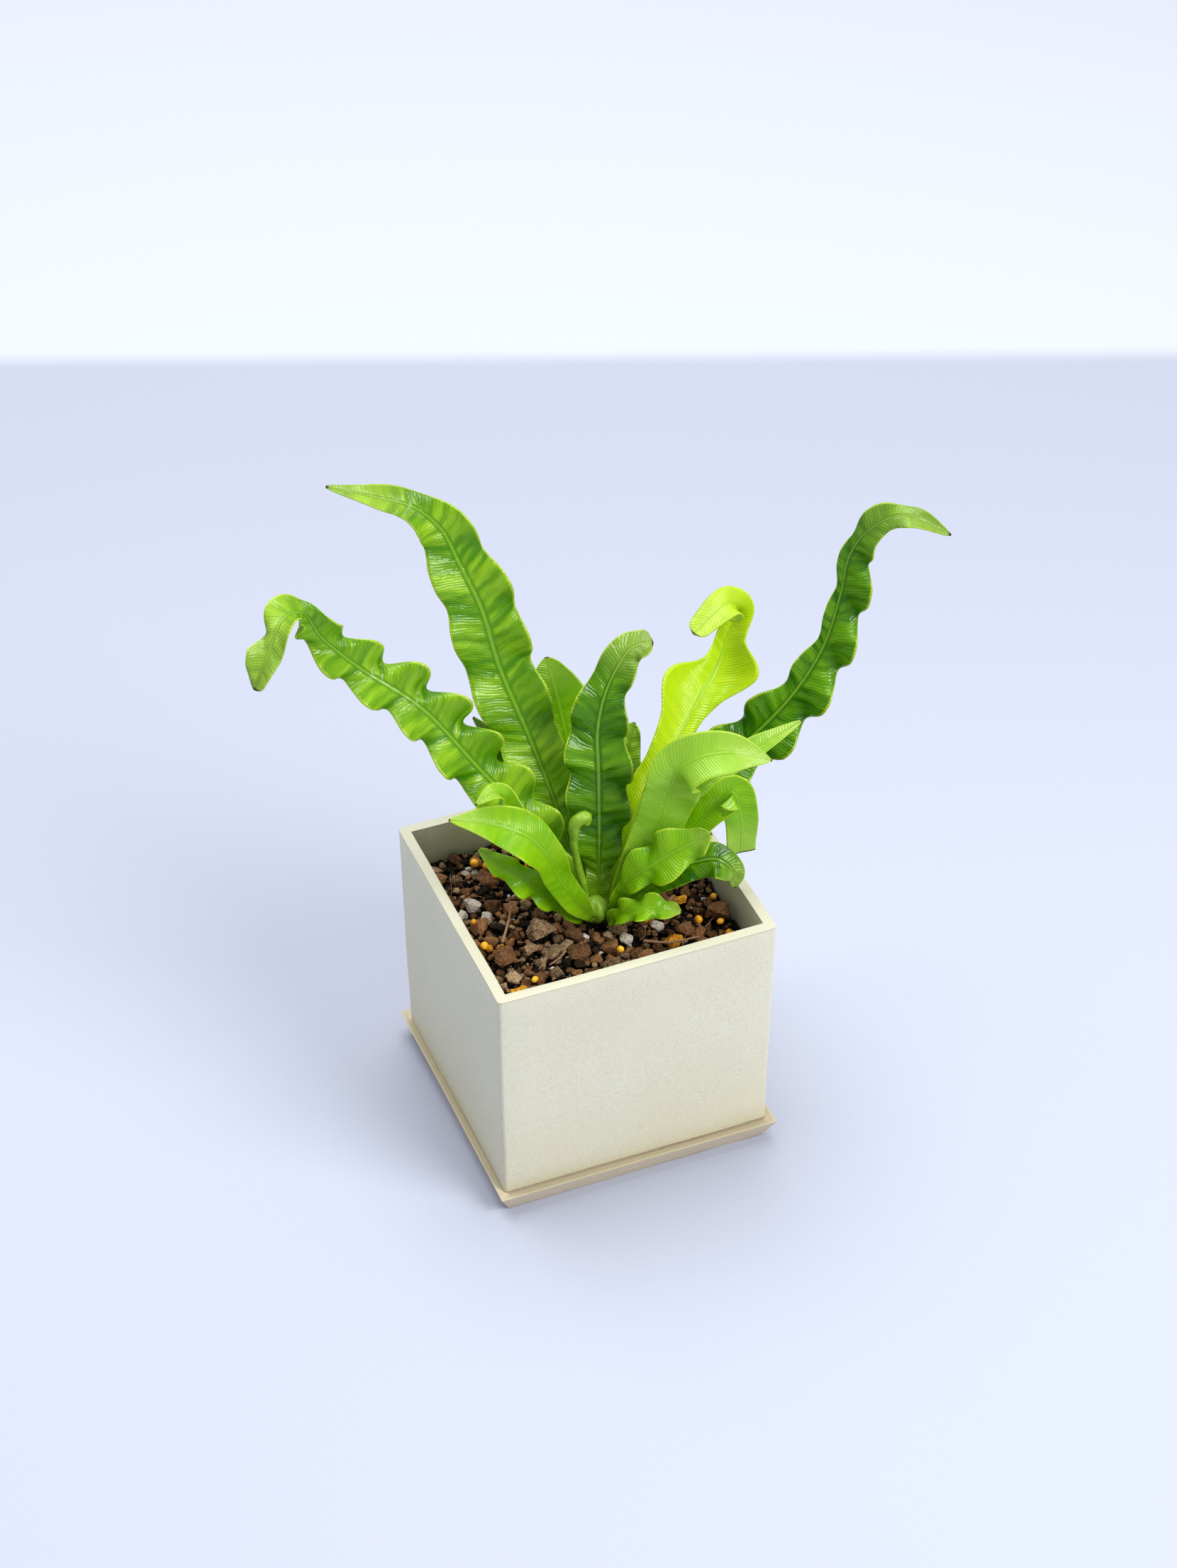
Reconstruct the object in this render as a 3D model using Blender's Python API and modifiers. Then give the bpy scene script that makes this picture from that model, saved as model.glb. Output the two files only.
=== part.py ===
"""A wavy bird's-nest fern in a square glazed pot on a matching saucer.

Everything is designed in millimetres and built in metres, +Z up. The origin is on the surface
that the saucer stands on, below the middle of the pot. -Y is the front.
"""

import math
import random

import bmesh
import bpy
import numpy as np
from mathutils import Matrix, Vector, noise

MM = 0.001
GAP = 0.3

POT_WIDTH = 90.0
POT_DEPTH = 87.4
POT_TAPER = 0.977
POT_WALL = 3.3
POT_FLOOR = 5.0
POT_EDGE = 0.7
POT_FOOT_HEIGHT = 0.5
POT_FOOT_INSET = 4.0
RIM_HEIGHT = 87.0
DRAIN_RADIUS = 6.0

SAUCER_WIDTH = 93.0
SAUCER_BASE = 86.0
SAUCER_HEIGHT = 7.6
SAUCER_FLOOR = 6.4
SAUCER_LIP = 3.4
SAUCER_EDGE = 0.5

SCREEN_SIZE = 22.0
SCREEN_THICKNESS = 0.8
SCREEN_HOLE = 1.3
SCREEN_PITCH = 4.2

SOIL_TOP = 73.0
SOIL_LUMP = 1.2
SOIL_CELLS = 14

CLUMP_CENTRE = (1.0, -6.0, 77.0)
CLUMP_RADII = (5.2, 5.0, 7.0)
BLADE_THICKNESS = 0.7
ROW_SPACING = 3.4
CUP = 0.18

POT_BASE = SAUCER_FLOOR + GAP + POT_FOOT_HEIGHT
CAVITY_FLOOR = POT_BASE + POT_FLOOR

# Every frond: ripples along the blade, their depth, how far one edge leads the other and where
# the first ripple starts (radians), and stations from the base to the tip: x, y, z, half widths
# left and right of the midrib, then the azimuth and elevation that the upper face looks at.
FRONDS = {
    "frond_long_left": (10.5, 2.7, 1.4, 0.6, [
        (-3, -4, 80, 1.2, 1.2, -100, 50), (-9, -2, 98, 3.4, 3.4, -100, 50),
        (-17, 1, 114, 7.0, 7.0, -100, 50), (-29, 7, 131, 8.4, 8.4, -100, 50),
        (-46, 15, 156, 8.2, 8.2, -100, 48), (-63, 21, 172, 7.0, 7.0, -100, 45),
        (-72, 23, 183, 5.6, 5.6, -105, 35), (-78, 21, 195, 4.4, 4.4, -125, 45),
        (-85, 16, 198, 4.8, 4.8, -140, 40), (-92, 10, 191, 5.4, 5.4, -145, 20),
        (-97, 8, 182, 3.4, 3.4, -145, 10)]),
    "frond_tall_back": (8.0, 1.4, 0.9, 0.0, [
        (-1, -3, 82, 1.4, 1.4, -108, 30), (-5, 4, 105, 5.0, 5.0, -108, 30),
        (-10, 18, 130, 9.4, 9.4, -108, 30), (-16, 28, 153, 10.4, 10.4, -105, 30),
        (-20, 33, 174, 10.4, 10.4, -105, 30), (-24, 38, 186, 9.2, 9.2, -105, 32),
        (-28, 42, 197, 7.4, 7.4, -110, 40), (-35, 44, 205, 5.2, 5.2, -118, 50),
        (-46, 45, 211, 3.6, 3.6, -118, 50), (-61, 46, 218, 0.6, 0.6, -118, 50)]),
    "frond_upright_centre": (6.0, 1.4, 0.9, 0.4, [
        (2, -6, 82, 2.4, 2.4, -110, 20), (3, -4, 92, 4.2, 4.2, -110, 25),
        (4, -2, 108, 8.2, 8.2, -110, 25), (5, 1, 127, 9.4, 9.4, -110, 25),
        (6, 4, 140, 8.8, 8.8, -110, 25), (9, 6, 150, 7.0, 6.8, -115, 30),
        (14, 8, 158, 5.6, 5.6, -110, 45), (19, 9, 163, 4.8, 4.8, -95, 60),
        (25, 7, 165, 4.6, 4.6, -75, 60)]),
    "frond_back_broad": (2.0, 1.0, 0.6, 0.0, [
        (1, 0, 82, 1.2, 1.2, -110, 20), (3, 9, 102, 4.0, 4.0, -108, 20),
        (3, 21, 123, 8.4, 8.4, -105, 25), (2, 28, 138, 9.0, 9.0, -105, 30),
        (1, 33, 148, 2.0, 2.0, -105, 35)]),
    "frond_back_right": (4.0, 1.2, 0.8, 0.0, [
        (5, -3, 82, 1.2, 1.2, -120, 20), (14, 11, 97, 3.6, 3.6, -130, 20),
        (20, 17, 111.5, 5.4, 5.4, -135, 20), (25, 21, 124.5, 2.0, 2.0, -135, 25)]),
    "frond_lime_curl": (2.2, 3.4, 1.6, 2.6, [
        (5, -5, 82, 1.4, 1.4, -110, 30), (11, -2, 94, 3.4, 3.4, -115, 30),
        (19, 3, 108, 5.6, 5.4, -115, 30), (30, 8, 117, 6.6, 5.6, -115, 30),
        (38, 13, 124, 8.4, 3.6, -112, 35), (46, 18, 131, 13.0, 6.0, -112, 38),
        (54, 24, 137, 4.6, 13.0, -120, 30), (59, 28, 144, 3.6, 6.6, -132, 25),
        (63, 29, 151, 4.6, 4.6, -122, 40), (58, 26, 157, 5.2, 5.2, -110, 50),
        (44, 21, 153, 3.0, 3.0, -108, 40)]),
    "frond_long_right": (9.5, 2.5, 1.1, 0.9, [
        (6, -2, 80, 1.2, 1.2, -130, 30), (28, 6, 94, 4.4, 4.4, -130, 30),
        (44, 8, 107, 7.4, 7.4, -130, 30), (58, 7, 119, 8.2, 9.8, -130, 30),
        (70, 5, 133, 5.4, 9.8, -132, 28), (80, 5, 149, 3.2, 9.0, -135, 18),
        (86, 7, 166, 2.2, 8.6, -135, 10), (89, 8, 179, 2.4, 8.0, -130, 25),
        (93, 6, 187, 3.8, 4.4, -110, 45), (102, 1, 194, 3.8, 4.2, -95, 50),
        (115, -6, 188, 0.6, 0.6, -90, 50)]),
    "frond_front_broad": (1.6, 1.0, 0.7, 0.5, [
        (5, -9, 82, 1.4, 1.4, -100, 20), (13, -11, 100, 5.0, 5.0, -100, 20),
        (19, -14, 114, 8.2, 7.6, -100, 30), (21, -16, 126, 8.6, 8.0, -100, 35),
        (23, -18, 136, 7.6, 8.0, -112, 50), (29, -21, 141, 6.8, 7.2, -115, 50),
        (38, -24, 142, 5.4, 6.0, -115, 50), (49, -27, 138, 0.6, 0.6, -115, 50)]),
    "frond_slim_right": (2.0, 0.5, 0.4, 0.0, [
        (7, -5, 80, 1.2, 1.2, -110, 30), (26, -4, 103, 2.4, 2.4, -110, 40),
        (43, -5, 120, 3.4, 3.4, -110, 45), (53, -6, 126, 3.4, 3.4, -110, 45),
        (69, -5, 131, 0.6, 0.6, -110, 45)]),
    "frond_strap_right": (2.0, 0.8, 0.5, 0.0, [
        (6, -7, 79, 1.2, 1.2, -110, 40), (25, -10, 97, 3.4, 3.4, -110, 50),
        (37, -13, 113, 4.6, 4.6, -100, 50), (42, -15, 119, 5.4, 5.4, -98, 25),
        (44, -17, 111, 5.4, 5.4, -95, 5), (44, -18, 97, 4.6, 4.6, -95, 0)]),
    "frond_low_right": (3.5, 1.8, 1.1, 0.5, [
        (6, -9, 77, 1.2, 1.2, -100, 40), (17, -13, 90, 3.6, 3.6, -95, 40),
        (27, -18, 98, 5.8, 5.8, -90, 45), (35, -22, 100, 5.6, 5.6, -80, 35),
        (39, -24, 95, 3.6, 3.6, -70, 20), (39, -25, 90, 1.2, 1.2, -70, 15)]),
    "frond_front_right": (3.6, 2.0, 1.2, 0.3, [
        (5, -10, 79, 1.2, 1.2, -110, 40), (8, -14, 93, 3.0, 3.0, -110, 50),
        (14, -18, 101, 5.4, 5.4, -110, 50), (21, -21, 107, 5.8, 5.8, -110, 45),
        (27, -23, 111, 4.8, 4.8, -110, 40), (31, -25, 114, 1.4, 1.4, -110, 40)]),
    "frond_lowest_front": (3.5, 1.4, 1.2, 0.3, [
        (3, -11, 77, 1.2, 1.2, -110, 40), (5, -16, 83, 2.8, 2.8, -110, 55),
        (9, -21, 88, 3.8, 3.8, -105, 55), (15, -24, 89, 3.4, 3.4, -100, 50),
        (21, -26, 87, 1.0, 1.0, -100, 50)]),
    "frond_front_left": (2.4, 1.0, 0.9, 0.6, [
        (-2, -10, 79, 1.4, 1.4, -100, 25), (-8, -12, 90, 4.0, 4.0, -95, 30),
        (-14, -13, 102, 5.6, 5.6, -85, 35), (-18, -14, 113, 6.0, 6.0, -90, 42),
        (-23, -14, 121, 6.8, 6.8, -105, 55), (-32, -12, 127, 5.8, 5.6, -112, 55),
        (-47, -11, 133, 0.6, 0.6, -112, 55)]),
    "frond_low_left": (4.0, 1.4, 1.0, 0.0, [
        (-4, -8, 77, 1.2, 1.2, -110, 35), (-12, -9, 87, 2.8, 2.8, -110, 35),
        (-20, -9, 97, 4.2, 4.2, -110, 35), (-28, -7, 105, 3.8, 3.8, -110, 35),
        (-36, -5, 114, 0.8, 0.8, -110, 35)]),
    "frond_small_left": (1.5, 0.7, 0.6, 0.0, [
        (-4, -6, 79, 1.0, 1.0, -110, 25), (-13, -7, 98, 2.2, 2.2, -110, 25),
        (-21, -7, 115, 4.0, 4.0, -110, 25), (-26, -7, 126, 4.0, 4.0, -110, 30),
        (-28, -5.5, 131.8, 3.2, 3.2, -115, 50), (-32, -7.5, 135.8, 2.6, 2.6, -112, 65),
        (-38, -9.5, 134.8, 0.6, 0.6, -108, 65)]),
    "frond_back_sliver": (3.0, 0.8, 0.9, 0.0, [
        (-3, -1, 80, 1.2, 1.2, -120, 25), (-8, 12, 100, 2.6, 2.6, -120, 25),
        (-15, 20, 119, 3.2, 3.2, -120, 25), (-21, 24, 131, 2.2, 2.2, -120, 25),
        (-25, 27, 137, 0.6, 0.6, -120, 25)]),
}


LEAF_COLOUR = (0.10, 0.34, 0.02)
YOUNG_LEAF_COLOUR = (0.42, 0.60, 0.03)
YOUNG_FRONDS = ("frond_lime_curl", "frond_front_left", "frond_small_left", "frond_front_broad")

# The young unopened frond, a rod that rises and rolls over at its end.
CROZIER_ROUTE = [(-3, -8, 84), (-4, -9, 92), (-6, -9, 102), (-7, -9, 112), (-6, -9, 118),
                 (-3, -9, 119), (-3, -9, 116)]
CROZIER_RADIUS = 1.5

# Larger pieces lying on the mix: name, x, y, length, width, height, turn, colour.
STONES = [
    ("pumice_stone_large", -17, -6, 9.5, 7.6, 7.0, 20, (0.26, 0.19, 0.12)),
    ("pumice_stone_pale", -32, 13, 5.6, 5.2, 4.6, 0, (0.42, 0.36, 0.30)),
    ("pumice_stone_grey", -23, -13, 6.4, 4.4, 4.2, 35, (0.33, 0.26, 0.20)),
    ("pumice_stone_white", 6, -19, 4.6, 4.2, 4.0, 10, (0.62, 0.57, 0.54)),
    ("akadama_lump_front", 8, -31, 7.4, 6.2, 5.4, 15, (0.14, 0.07, 0.03)),
    ("akadama_lump_left", -32, -14, 9.0, 6.6, 5.6, 60, (0.17, 0.07, 0.03)),
    ("akadama_lump_right", 36, -20, 8.6, 7.8, 6.6, 0, (0.16, 0.06, 0.02)),
    ("akadama_lump_middle", 22, -12, 9.4, 7.4, 5.6, 40, (0.14, 0.06, 0.02)),
    ("ochre_lump_front", 19, -26, 7.0, 4.4, 3.8, 20, (0.66, 0.33, 0.03)),
    ("ochre_lump_corner", -33, -31, 6.4, 5.6, 5.0, 0, (0.50, 0.24, 0.03)),
]

# Twigs lying across the larger pieces: route and radius.
TWIGS = {
    "twig_front": ([(9, -25, 78.6), (15, -29, 79.2), (25, -31, 79.8)], 0.5),
    "twig_left": ([(-31, -10, 79.0), (-27, -4, 79.6), (-23, 3, 80.4)], 0.5),
    "twig_right": ([(13, -20, 80.2), (18, -17, 81.2), (24, -13, 82.0)], 0.6),
}


def clear_scene():
    for item in list(bpy.data.objects):
        bpy.data.objects.remove(item)


def collection(name):
    group = bpy.data.collections.new(name)
    bpy.context.scene.collection.children.link(group)
    return group


def finish(name, colour, roughness, metallic=0.0):
    material = bpy.data.materials.new(name)
    material.use_nodes = True
    shader = material.node_tree.nodes["Principled BSDF"]
    shader.inputs["Base Color"].default_value = (*colour, 1.0)
    shader.inputs["Roughness"].default_value = roughness
    shader.inputs["Metallic"].default_value = metallic
    return material


def mesh_object(name, bm, group, material=None):
    """An object from a bmesh drawn in millimetres."""
    bmesh.ops.scale(bm, vec=(MM, MM, MM), verts=bm.verts)
    mesh = bpy.data.meshes.new(name)
    bm.to_mesh(mesh)
    bm.free()
    thing = bpy.data.objects.new(name, mesh)
    group.objects.link(thing)
    if material is not None:
        mesh.materials.append(material)
    return thing


def tapered_block(bm, width, depth, low, high, low_scale):
    """A four-sided block whose foot is low_scale times its top."""
    half_diagonal = math.sqrt(0.5)
    turn = Matrix.Rotation(math.pi / 4, 4, "Z")
    made = bmesh.ops.create_cone(
        bm, cap_ends=True, segments=4, radius1=half_diagonal * low_scale, radius2=half_diagonal,
        depth=high - low, matrix=Matrix.Translation((0, 0, (low + high) / 2)) @ turn)
    bmesh.ops.scale(bm, vec=(width, depth, 1), verts=made["verts"])


def flat_face(bm, height):
    """The largest level face at a height."""
    level = [f for f in bm.faces if abs(f.calc_center_median().z - height) < 0.01]
    return max(level, key=lambda f: f.calc_area() * abs(f.normal.z))


def move_face(face, middle_scale, lift):
    for vertex in face.verts:
        vertex.co.x *= middle_scale
        vertex.co.y *= middle_scale
        vertex.co.z += lift


def pushed_face(bm, face, inset, scale, lift):
    """Insets a level face, then draws the middle up or down with its corners scaled."""
    bmesh.ops.inset_individual(bm, faces=[face], thickness=inset, use_even_offset=True)
    middle = bmesh.ops.extrude_discrete_faces(bm, faces=[face])["faces"][0]
    move_face(middle, scale, lift)
    return middle


def bevelled(thing, width, segments=2):
    bevel = thing.modifiers.new("Bevel", "BEVEL")
    bevel.width = width * MM
    bevel.segments = segments
    bevel.limit_method = "ANGLE"
    bevel.angle_limit = math.radians(35)
    return bevel


def cutter(name, bm, group):
    tool = mesh_object(name, bm, group)
    tool.hide_render = True
    tool.display_type = "WIRE"
    return tool


def cut(thing, tool):
    boolean = thing.modifiers.new("Cut", "BOOLEAN")
    boolean.operation = "DIFFERENCE"
    boolean.object = tool


def make_saucer(parts):
    """A square dish with sloping sides, a lip that falls to a level floor."""
    bm = bmesh.new()
    tapered_block(bm, SAUCER_WIDTH, SAUCER_WIDTH, 0.0, SAUCER_HEIGHT, SAUCER_BASE / SAUCER_WIDTH)
    top = flat_face(bm, SAUCER_HEIGHT)
    inner = SAUCER_WIDTH - 1.0
    floor_scale = (inner - 2 * SAUCER_LIP) / inner
    pushed_face(bm, top, 0.5, floor_scale, SAUCER_FLOOR - SAUCER_HEIGHT)
    bmesh.ops.recalc_face_normals(bm, faces=bm.faces)
    saucer = mesh_object("saucer", bm, parts, finish("saucer_glaze", (0.55, 0.47, 0.36), 0.45))
    bevelled(saucer, SAUCER_EDGE)
    return saucer


def make_pot(parts, tools):
    """A square pot with a slight taper, a low foot inside its bottom edge and a drain hole."""
    bm = bmesh.new()
    tapered_block(bm, POT_WIDTH, POT_DEPTH, POT_BASE, RIM_HEIGHT, POT_TAPER)
    top = flat_face(bm, RIM_HEIGHT)
    pushed_face(bm, top, POT_WALL, POT_TAPER, CAVITY_FLOOR - RIM_HEIGHT)
    bottom = flat_face(bm, POT_BASE)
    pushed_face(bm, bottom, POT_FOOT_INSET, 0.98, -POT_FOOT_HEIGHT)
    bmesh.ops.recalc_face_normals(bm, faces=bm.faces)
    pot = mesh_object("pot", bm, parts, finish("pot_glaze", (0.70, 0.71, 0.58), 0.5))
    bevelled(pot, POT_EDGE)

    bm = bmesh.new()
    bmesh.ops.create_cone(bm, cap_ends=True, segments=24, radius1=DRAIN_RADIUS, radius2=DRAIN_RADIUS,
                          depth=20, matrix=Matrix.Translation((0, 0, POT_BASE)))
    cut(pot, cutter("drain_hole", bm, tools))
    return pot


def make_screen(parts, tools):
    """A square of net that keeps the mix from falling out of the drain hole."""
    bm = bmesh.new()
    bottom = CAVITY_FLOOR + GAP
    size = (SCREEN_SIZE, SCREEN_SIZE, SCREEN_THICKNESS)
    place = Matrix.Translation((0, 0, bottom + SCREEN_THICKNESS / 2))
    bmesh.ops.create_cube(bm, size=1, matrix=place @ Matrix.Diagonal((*size, 1)))
    screen = mesh_object("drain_screen", bm, parts, finish("screen_plastic", (0.03, 0.03, 0.03), 0.6))
    bm = bmesh.new()
    for row in range(-1, 2):
        for column in range(-1, 2):
            spot = Matrix.Translation((column * SCREEN_PITCH, row * SCREEN_PITCH, bottom))
            bmesh.ops.create_cone(bm, cap_ends=True, segments=8, radius1=SCREEN_HOLE,
                                  radius2=SCREEN_HOLE, depth=6, matrix=spot)
    cut(screen, cutter("screen_holes", bm, tools))
    return screen


def soil_height(x, y):
    """The lumpy top of the mix, a little higher around the plant."""
    lump = noise.noise(Vector((x * 0.16, y * 0.16, 3.7)))
    return SOIL_TOP + SOIL_LUMP * lump


def make_potting_mix(parts):
    """The block of mix that fills the pot, with a lumpy top."""
    slope = 1 - POT_TAPER
    top_share = 1 - slope * (RIM_HEIGHT - SOIL_TOP) / (RIM_HEIGHT - POT_BASE)
    half_x = (POT_WIDTH / 2 - POT_WALL) * top_share - GAP
    half_y = (POT_DEPTH / 2 - POT_WALL) * top_share - GAP
    low = CAVITY_FLOOR + GAP + SCREEN_THICKNESS + GAP
    bm = bmesh.new()
    bmesh.ops.create_grid(bm, x_segments=SOIL_CELLS, y_segments=SOIL_CELLS, size=1)
    for vertex in bm.verts:
        x = vertex.co.x * half_x
        y = vertex.co.y * half_y
        vertex.co = (x, y, soil_height(x, y))
    skirt = bmesh.ops.extrude_face_region(bm, geom=bm.faces[:])["geom"]
    for item in skirt:
        if isinstance(item, bmesh.types.BMVert):
            item.co.x *= POT_TAPER * 0.995
            item.co.y *= POT_TAPER * 0.995
            item.co.z = low
    level = [f for f in bm.faces if all(abs(v.co.z - low) < 0.001 for v in f.verts)]
    bmesh.ops.dissolve_faces(bm, faces=level)
    bmesh.ops.recalc_face_normals(bm, faces=bm.faces)
    return mesh_object("potting_mix", bm, parts, finish("potting_mix", (0.06, 0.035, 0.02), 0.95))


def make_rhizome(parts):
    """The short clump of frond bases at the middle of the plant."""
    bm = bmesh.new()
    place = Matrix.Translation(CLUMP_CENTRE) @ Matrix.Diagonal((*CLUMP_RADII, 1))
    bmesh.ops.create_uvsphere(bm, u_segments=16, v_segments=10, radius=1, matrix=place)
    lowest = SOIL_TOP + SOIL_LUMP + GAP
    for vertex in bm.verts:
        vertex.co.z = max(vertex.co.z, lowest)
    bmesh.ops.remove_doubles(bm, verts=bm.verts, dist=0.01)
    clump = mesh_object("rhizome", bm, parts, finish("rhizome_skin", (0.22, 0.38, 0.03), 0.5))
    clump.data.shade_smooth()
    return clump


def unit_rows(rows):
    return rows / np.linalg.norm(rows, axis=1, keepdims=True)


def smooth_rows(stations, count):
    """Rows read evenly along a smooth curve through the stations, whose first three are x, y, z."""
    knots = np.array(stations, dtype=float)
    steps = np.linalg.norm(np.diff(knots[:, :3], axis=0), axis=1)
    where = np.concatenate([[0.0], np.cumsum(steps)])
    slope = np.gradient(knots, where, axis=0)
    read = np.linspace(0.0, where[-1], count)
    span = np.clip(np.searchsorted(where, read, side="right") - 1, 0, len(where) - 2)
    length = (where[span + 1] - where[span])[:, None]
    u = (read - where[span])[:, None] / length
    start = (2 * u**3 - 3 * u**2 + 1) * knots[span] + (u**3 - 2 * u**2 + u) * length * slope[span]
    end = (3 * u**2 - 2 * u**3) * knots[span + 1] + (u**3 - u**2) * length * slope[span + 1]
    return read, start + end


def blade_rows(frond):
    """Midrib, half widths, upper face direction, side direction and share of length of each row."""
    path = frond[4]
    knots = []
    for x, y, z, left, right, azimuth, elevation in path:
        turn = math.radians(azimuth)
        rise = math.radians(elevation)
        look = (math.cos(turn) * math.cos(rise), math.sin(turn) * math.cos(rise), math.sin(rise))
        knots.append((x, y, z, left, right, *look))
    length = sum(math.dist(a[:3], b[:3]) for a, b in zip(path, path[1:]))
    count = round(length / ROW_SPACING)
    read, rows = smooth_rows(knots, count + 1)
    midrib = rows[:, :3]
    along = unit_rows(np.gradient(midrib, axis=0))
    face = rows[:, 5:8]
    face = unit_rows(face - np.sum(face * along, axis=1, keepdims=True) * along)
    return midrib, np.maximum(rows[:, 3:5], 0.5), face, np.cross(along, face), read / read[-1]


def outside_clump(point):
    offset = (np.array(point) - CLUMP_CENTRE) / (np.array(CLUMP_RADII) + BLADE_THICKNESS + GAP)
    return float(np.linalg.norm(offset)) > 1.0


def make_frond(name, parts):
    """A thin rippled strap along its midrib, from the skin of the clump to the tip."""
    ripples, depth, lead, start, _ = FRONDS[name]
    midrib, halves, face, side, share = blade_rows(FRONDS[name])
    first = next(i for i, point in enumerate(midrib) if outside_clump(point))
    widest = halves.max()
    rows = len(midrib) - first
    bm = bmesh.new()
    bmesh.ops.create_grid(bm, x_segments=2, y_segments=rows - 1, size=1)
    for vertex in bm.verts:
        row = first + round((vertex.co.y + 1) / 2 * (rows - 1))
        across = vertex.co.x
        half = halves[row][0 if across < 0 else 1]
        wave = math.sin(2 * math.pi * ripples * share[row] + start + lead * across)
        lift = abs(across) * (depth * wave * half / widest + CUP * half)
        vertex.co = midrib[row] + side[row] * across * half + face[row] * lift
    colour = YOUNG_LEAF_COLOUR if name in YOUNG_FRONDS else LEAF_COLOUR
    frond = mesh_object(name, bm, parts, finish(name + "_leaf", colour, 0.35))
    frond.data.shade_smooth()
    solidify = frond.modifiers.new("Solidify", "SOLIDIFY")
    solidify.thickness = BLADE_THICKNESS * MM
    solidify.offset = 0.0
    return frond


def rod(name, route, radius, parts, material, tip_share=1.0):
    """A round rod along a smooth curve through the route's points."""
    length = sum(math.dist(a, b) for a, b in zip(route, route[1:]))
    _, points = smooth_rows(route, max(4, round(length / (3 * radius))))
    curve = bpy.data.curves.new(name, "CURVE")
    curve.dimensions = "3D"
    curve.bevel_depth = radius * MM
    curve.bevel_resolution = 2
    curve.use_fill_caps = True
    curve.materials.append(material)
    spline = curve.splines.new("POLY")
    spline.points.add(len(points) - 1)
    for index, point in enumerate(points):
        spline.points[index].co = (*(point * MM), 1.0)
        spline.points[index].radius = 1 - (1 - tip_share) * index / (len(points) - 1)
    thing = bpy.data.objects.new(name, curve)
    parts.objects.link(thing)
    return thing


def make_crozier(parts):
    """The young frond that is still rolled, starting at the skin of the clump."""
    return rod("frond_crozier", CROZIER_ROUTE, CROZIER_RADIUS, parts,
               finish("crozier_skin", (0.34, 0.50, 0.03), 0.4), 0.8)


def make_stone(name, x, y, length, width, height, turn, colour, parts):
    """An angular lump that rests just above the mix."""
    chance = random.Random(name)
    bm = bmesh.new()
    bmesh.ops.create_icosphere(bm, subdivisions=2, radius=0.5)
    for vertex in bm.verts:
        vertex.co *= chance.uniform(0.86, 1.0)
    bmesh.ops.scale(bm, vec=(length, width, height), verts=bm.verts)
    bmesh.ops.rotate(bm, cent=(0, 0, 0), matrix=Matrix.Rotation(math.radians(turn), 3, "Z"), verts=bm.verts)
    reach = max(length, width) / 2
    ground = max(soil_height(x + reach * i / 4, y + reach * j / 4) for i in range(-4, 5) for j in range(-4, 5))
    lift = ground + GAP - min(vertex.co.z for vertex in bm.verts)
    bmesh.ops.translate(bm, vec=(x, y, lift), verts=bm.verts)
    return mesh_object(name, bm, parts, finish(name + "_surface", colour, 0.9))


def main():
    clear_scene()
    parts = collection("potted_fern")
    tools = collection("cutters")
    make_saucer(parts)
    make_pot(parts, tools)
    make_screen(parts, tools)
    make_potting_mix(parts)
    make_rhizome(parts)
    for name in FRONDS:
        make_frond(name, parts)
    make_crozier(parts)
    for stone in STONES:
        make_stone(*stone, parts)
    bark = finish("twig_bark", (0.22, 0.13, 0.07), 0.85)
    for name, (route, radius) in TWIGS.items():
        rod(name, route, radius, parts, bark.copy(), 0.6)


main()
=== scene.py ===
"""The looks of a wavy bird's-nest fern in a square glazed pot on its saucer.

Lengths are drawn in millimetres and placed in metres by MM. -Y is the front of the pot.
"""

import math
import random

import bmesh
import bpy
import numpy as np
from mathutils import Matrix, Vector, noise


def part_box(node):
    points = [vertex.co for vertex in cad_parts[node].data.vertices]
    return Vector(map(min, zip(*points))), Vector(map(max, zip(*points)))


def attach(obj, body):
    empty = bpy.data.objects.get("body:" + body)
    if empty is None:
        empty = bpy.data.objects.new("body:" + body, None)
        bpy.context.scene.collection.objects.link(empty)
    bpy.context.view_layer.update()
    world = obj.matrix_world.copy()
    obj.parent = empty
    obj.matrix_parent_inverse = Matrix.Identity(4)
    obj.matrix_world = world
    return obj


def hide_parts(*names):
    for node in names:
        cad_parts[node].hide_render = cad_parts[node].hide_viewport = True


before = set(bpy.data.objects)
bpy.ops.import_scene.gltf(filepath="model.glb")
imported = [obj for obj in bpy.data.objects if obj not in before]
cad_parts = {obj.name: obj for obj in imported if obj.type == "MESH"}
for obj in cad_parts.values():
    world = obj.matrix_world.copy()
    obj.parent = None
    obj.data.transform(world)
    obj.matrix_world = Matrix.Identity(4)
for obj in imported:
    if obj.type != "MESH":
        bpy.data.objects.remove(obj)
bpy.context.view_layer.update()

MM = 0.001

# Vector noise is seeded by the clock unless a script seeds it.
noise.seed_set(1795186723)

CAMERA_PLACE = (-0.3075, -0.7686, 0.7990)
CAMERA_TARGET = (0.0012, -0.0005, 0.1238)
CAMERA_ROLL = 0.23
CAMERA_LENS = 81.9

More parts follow.
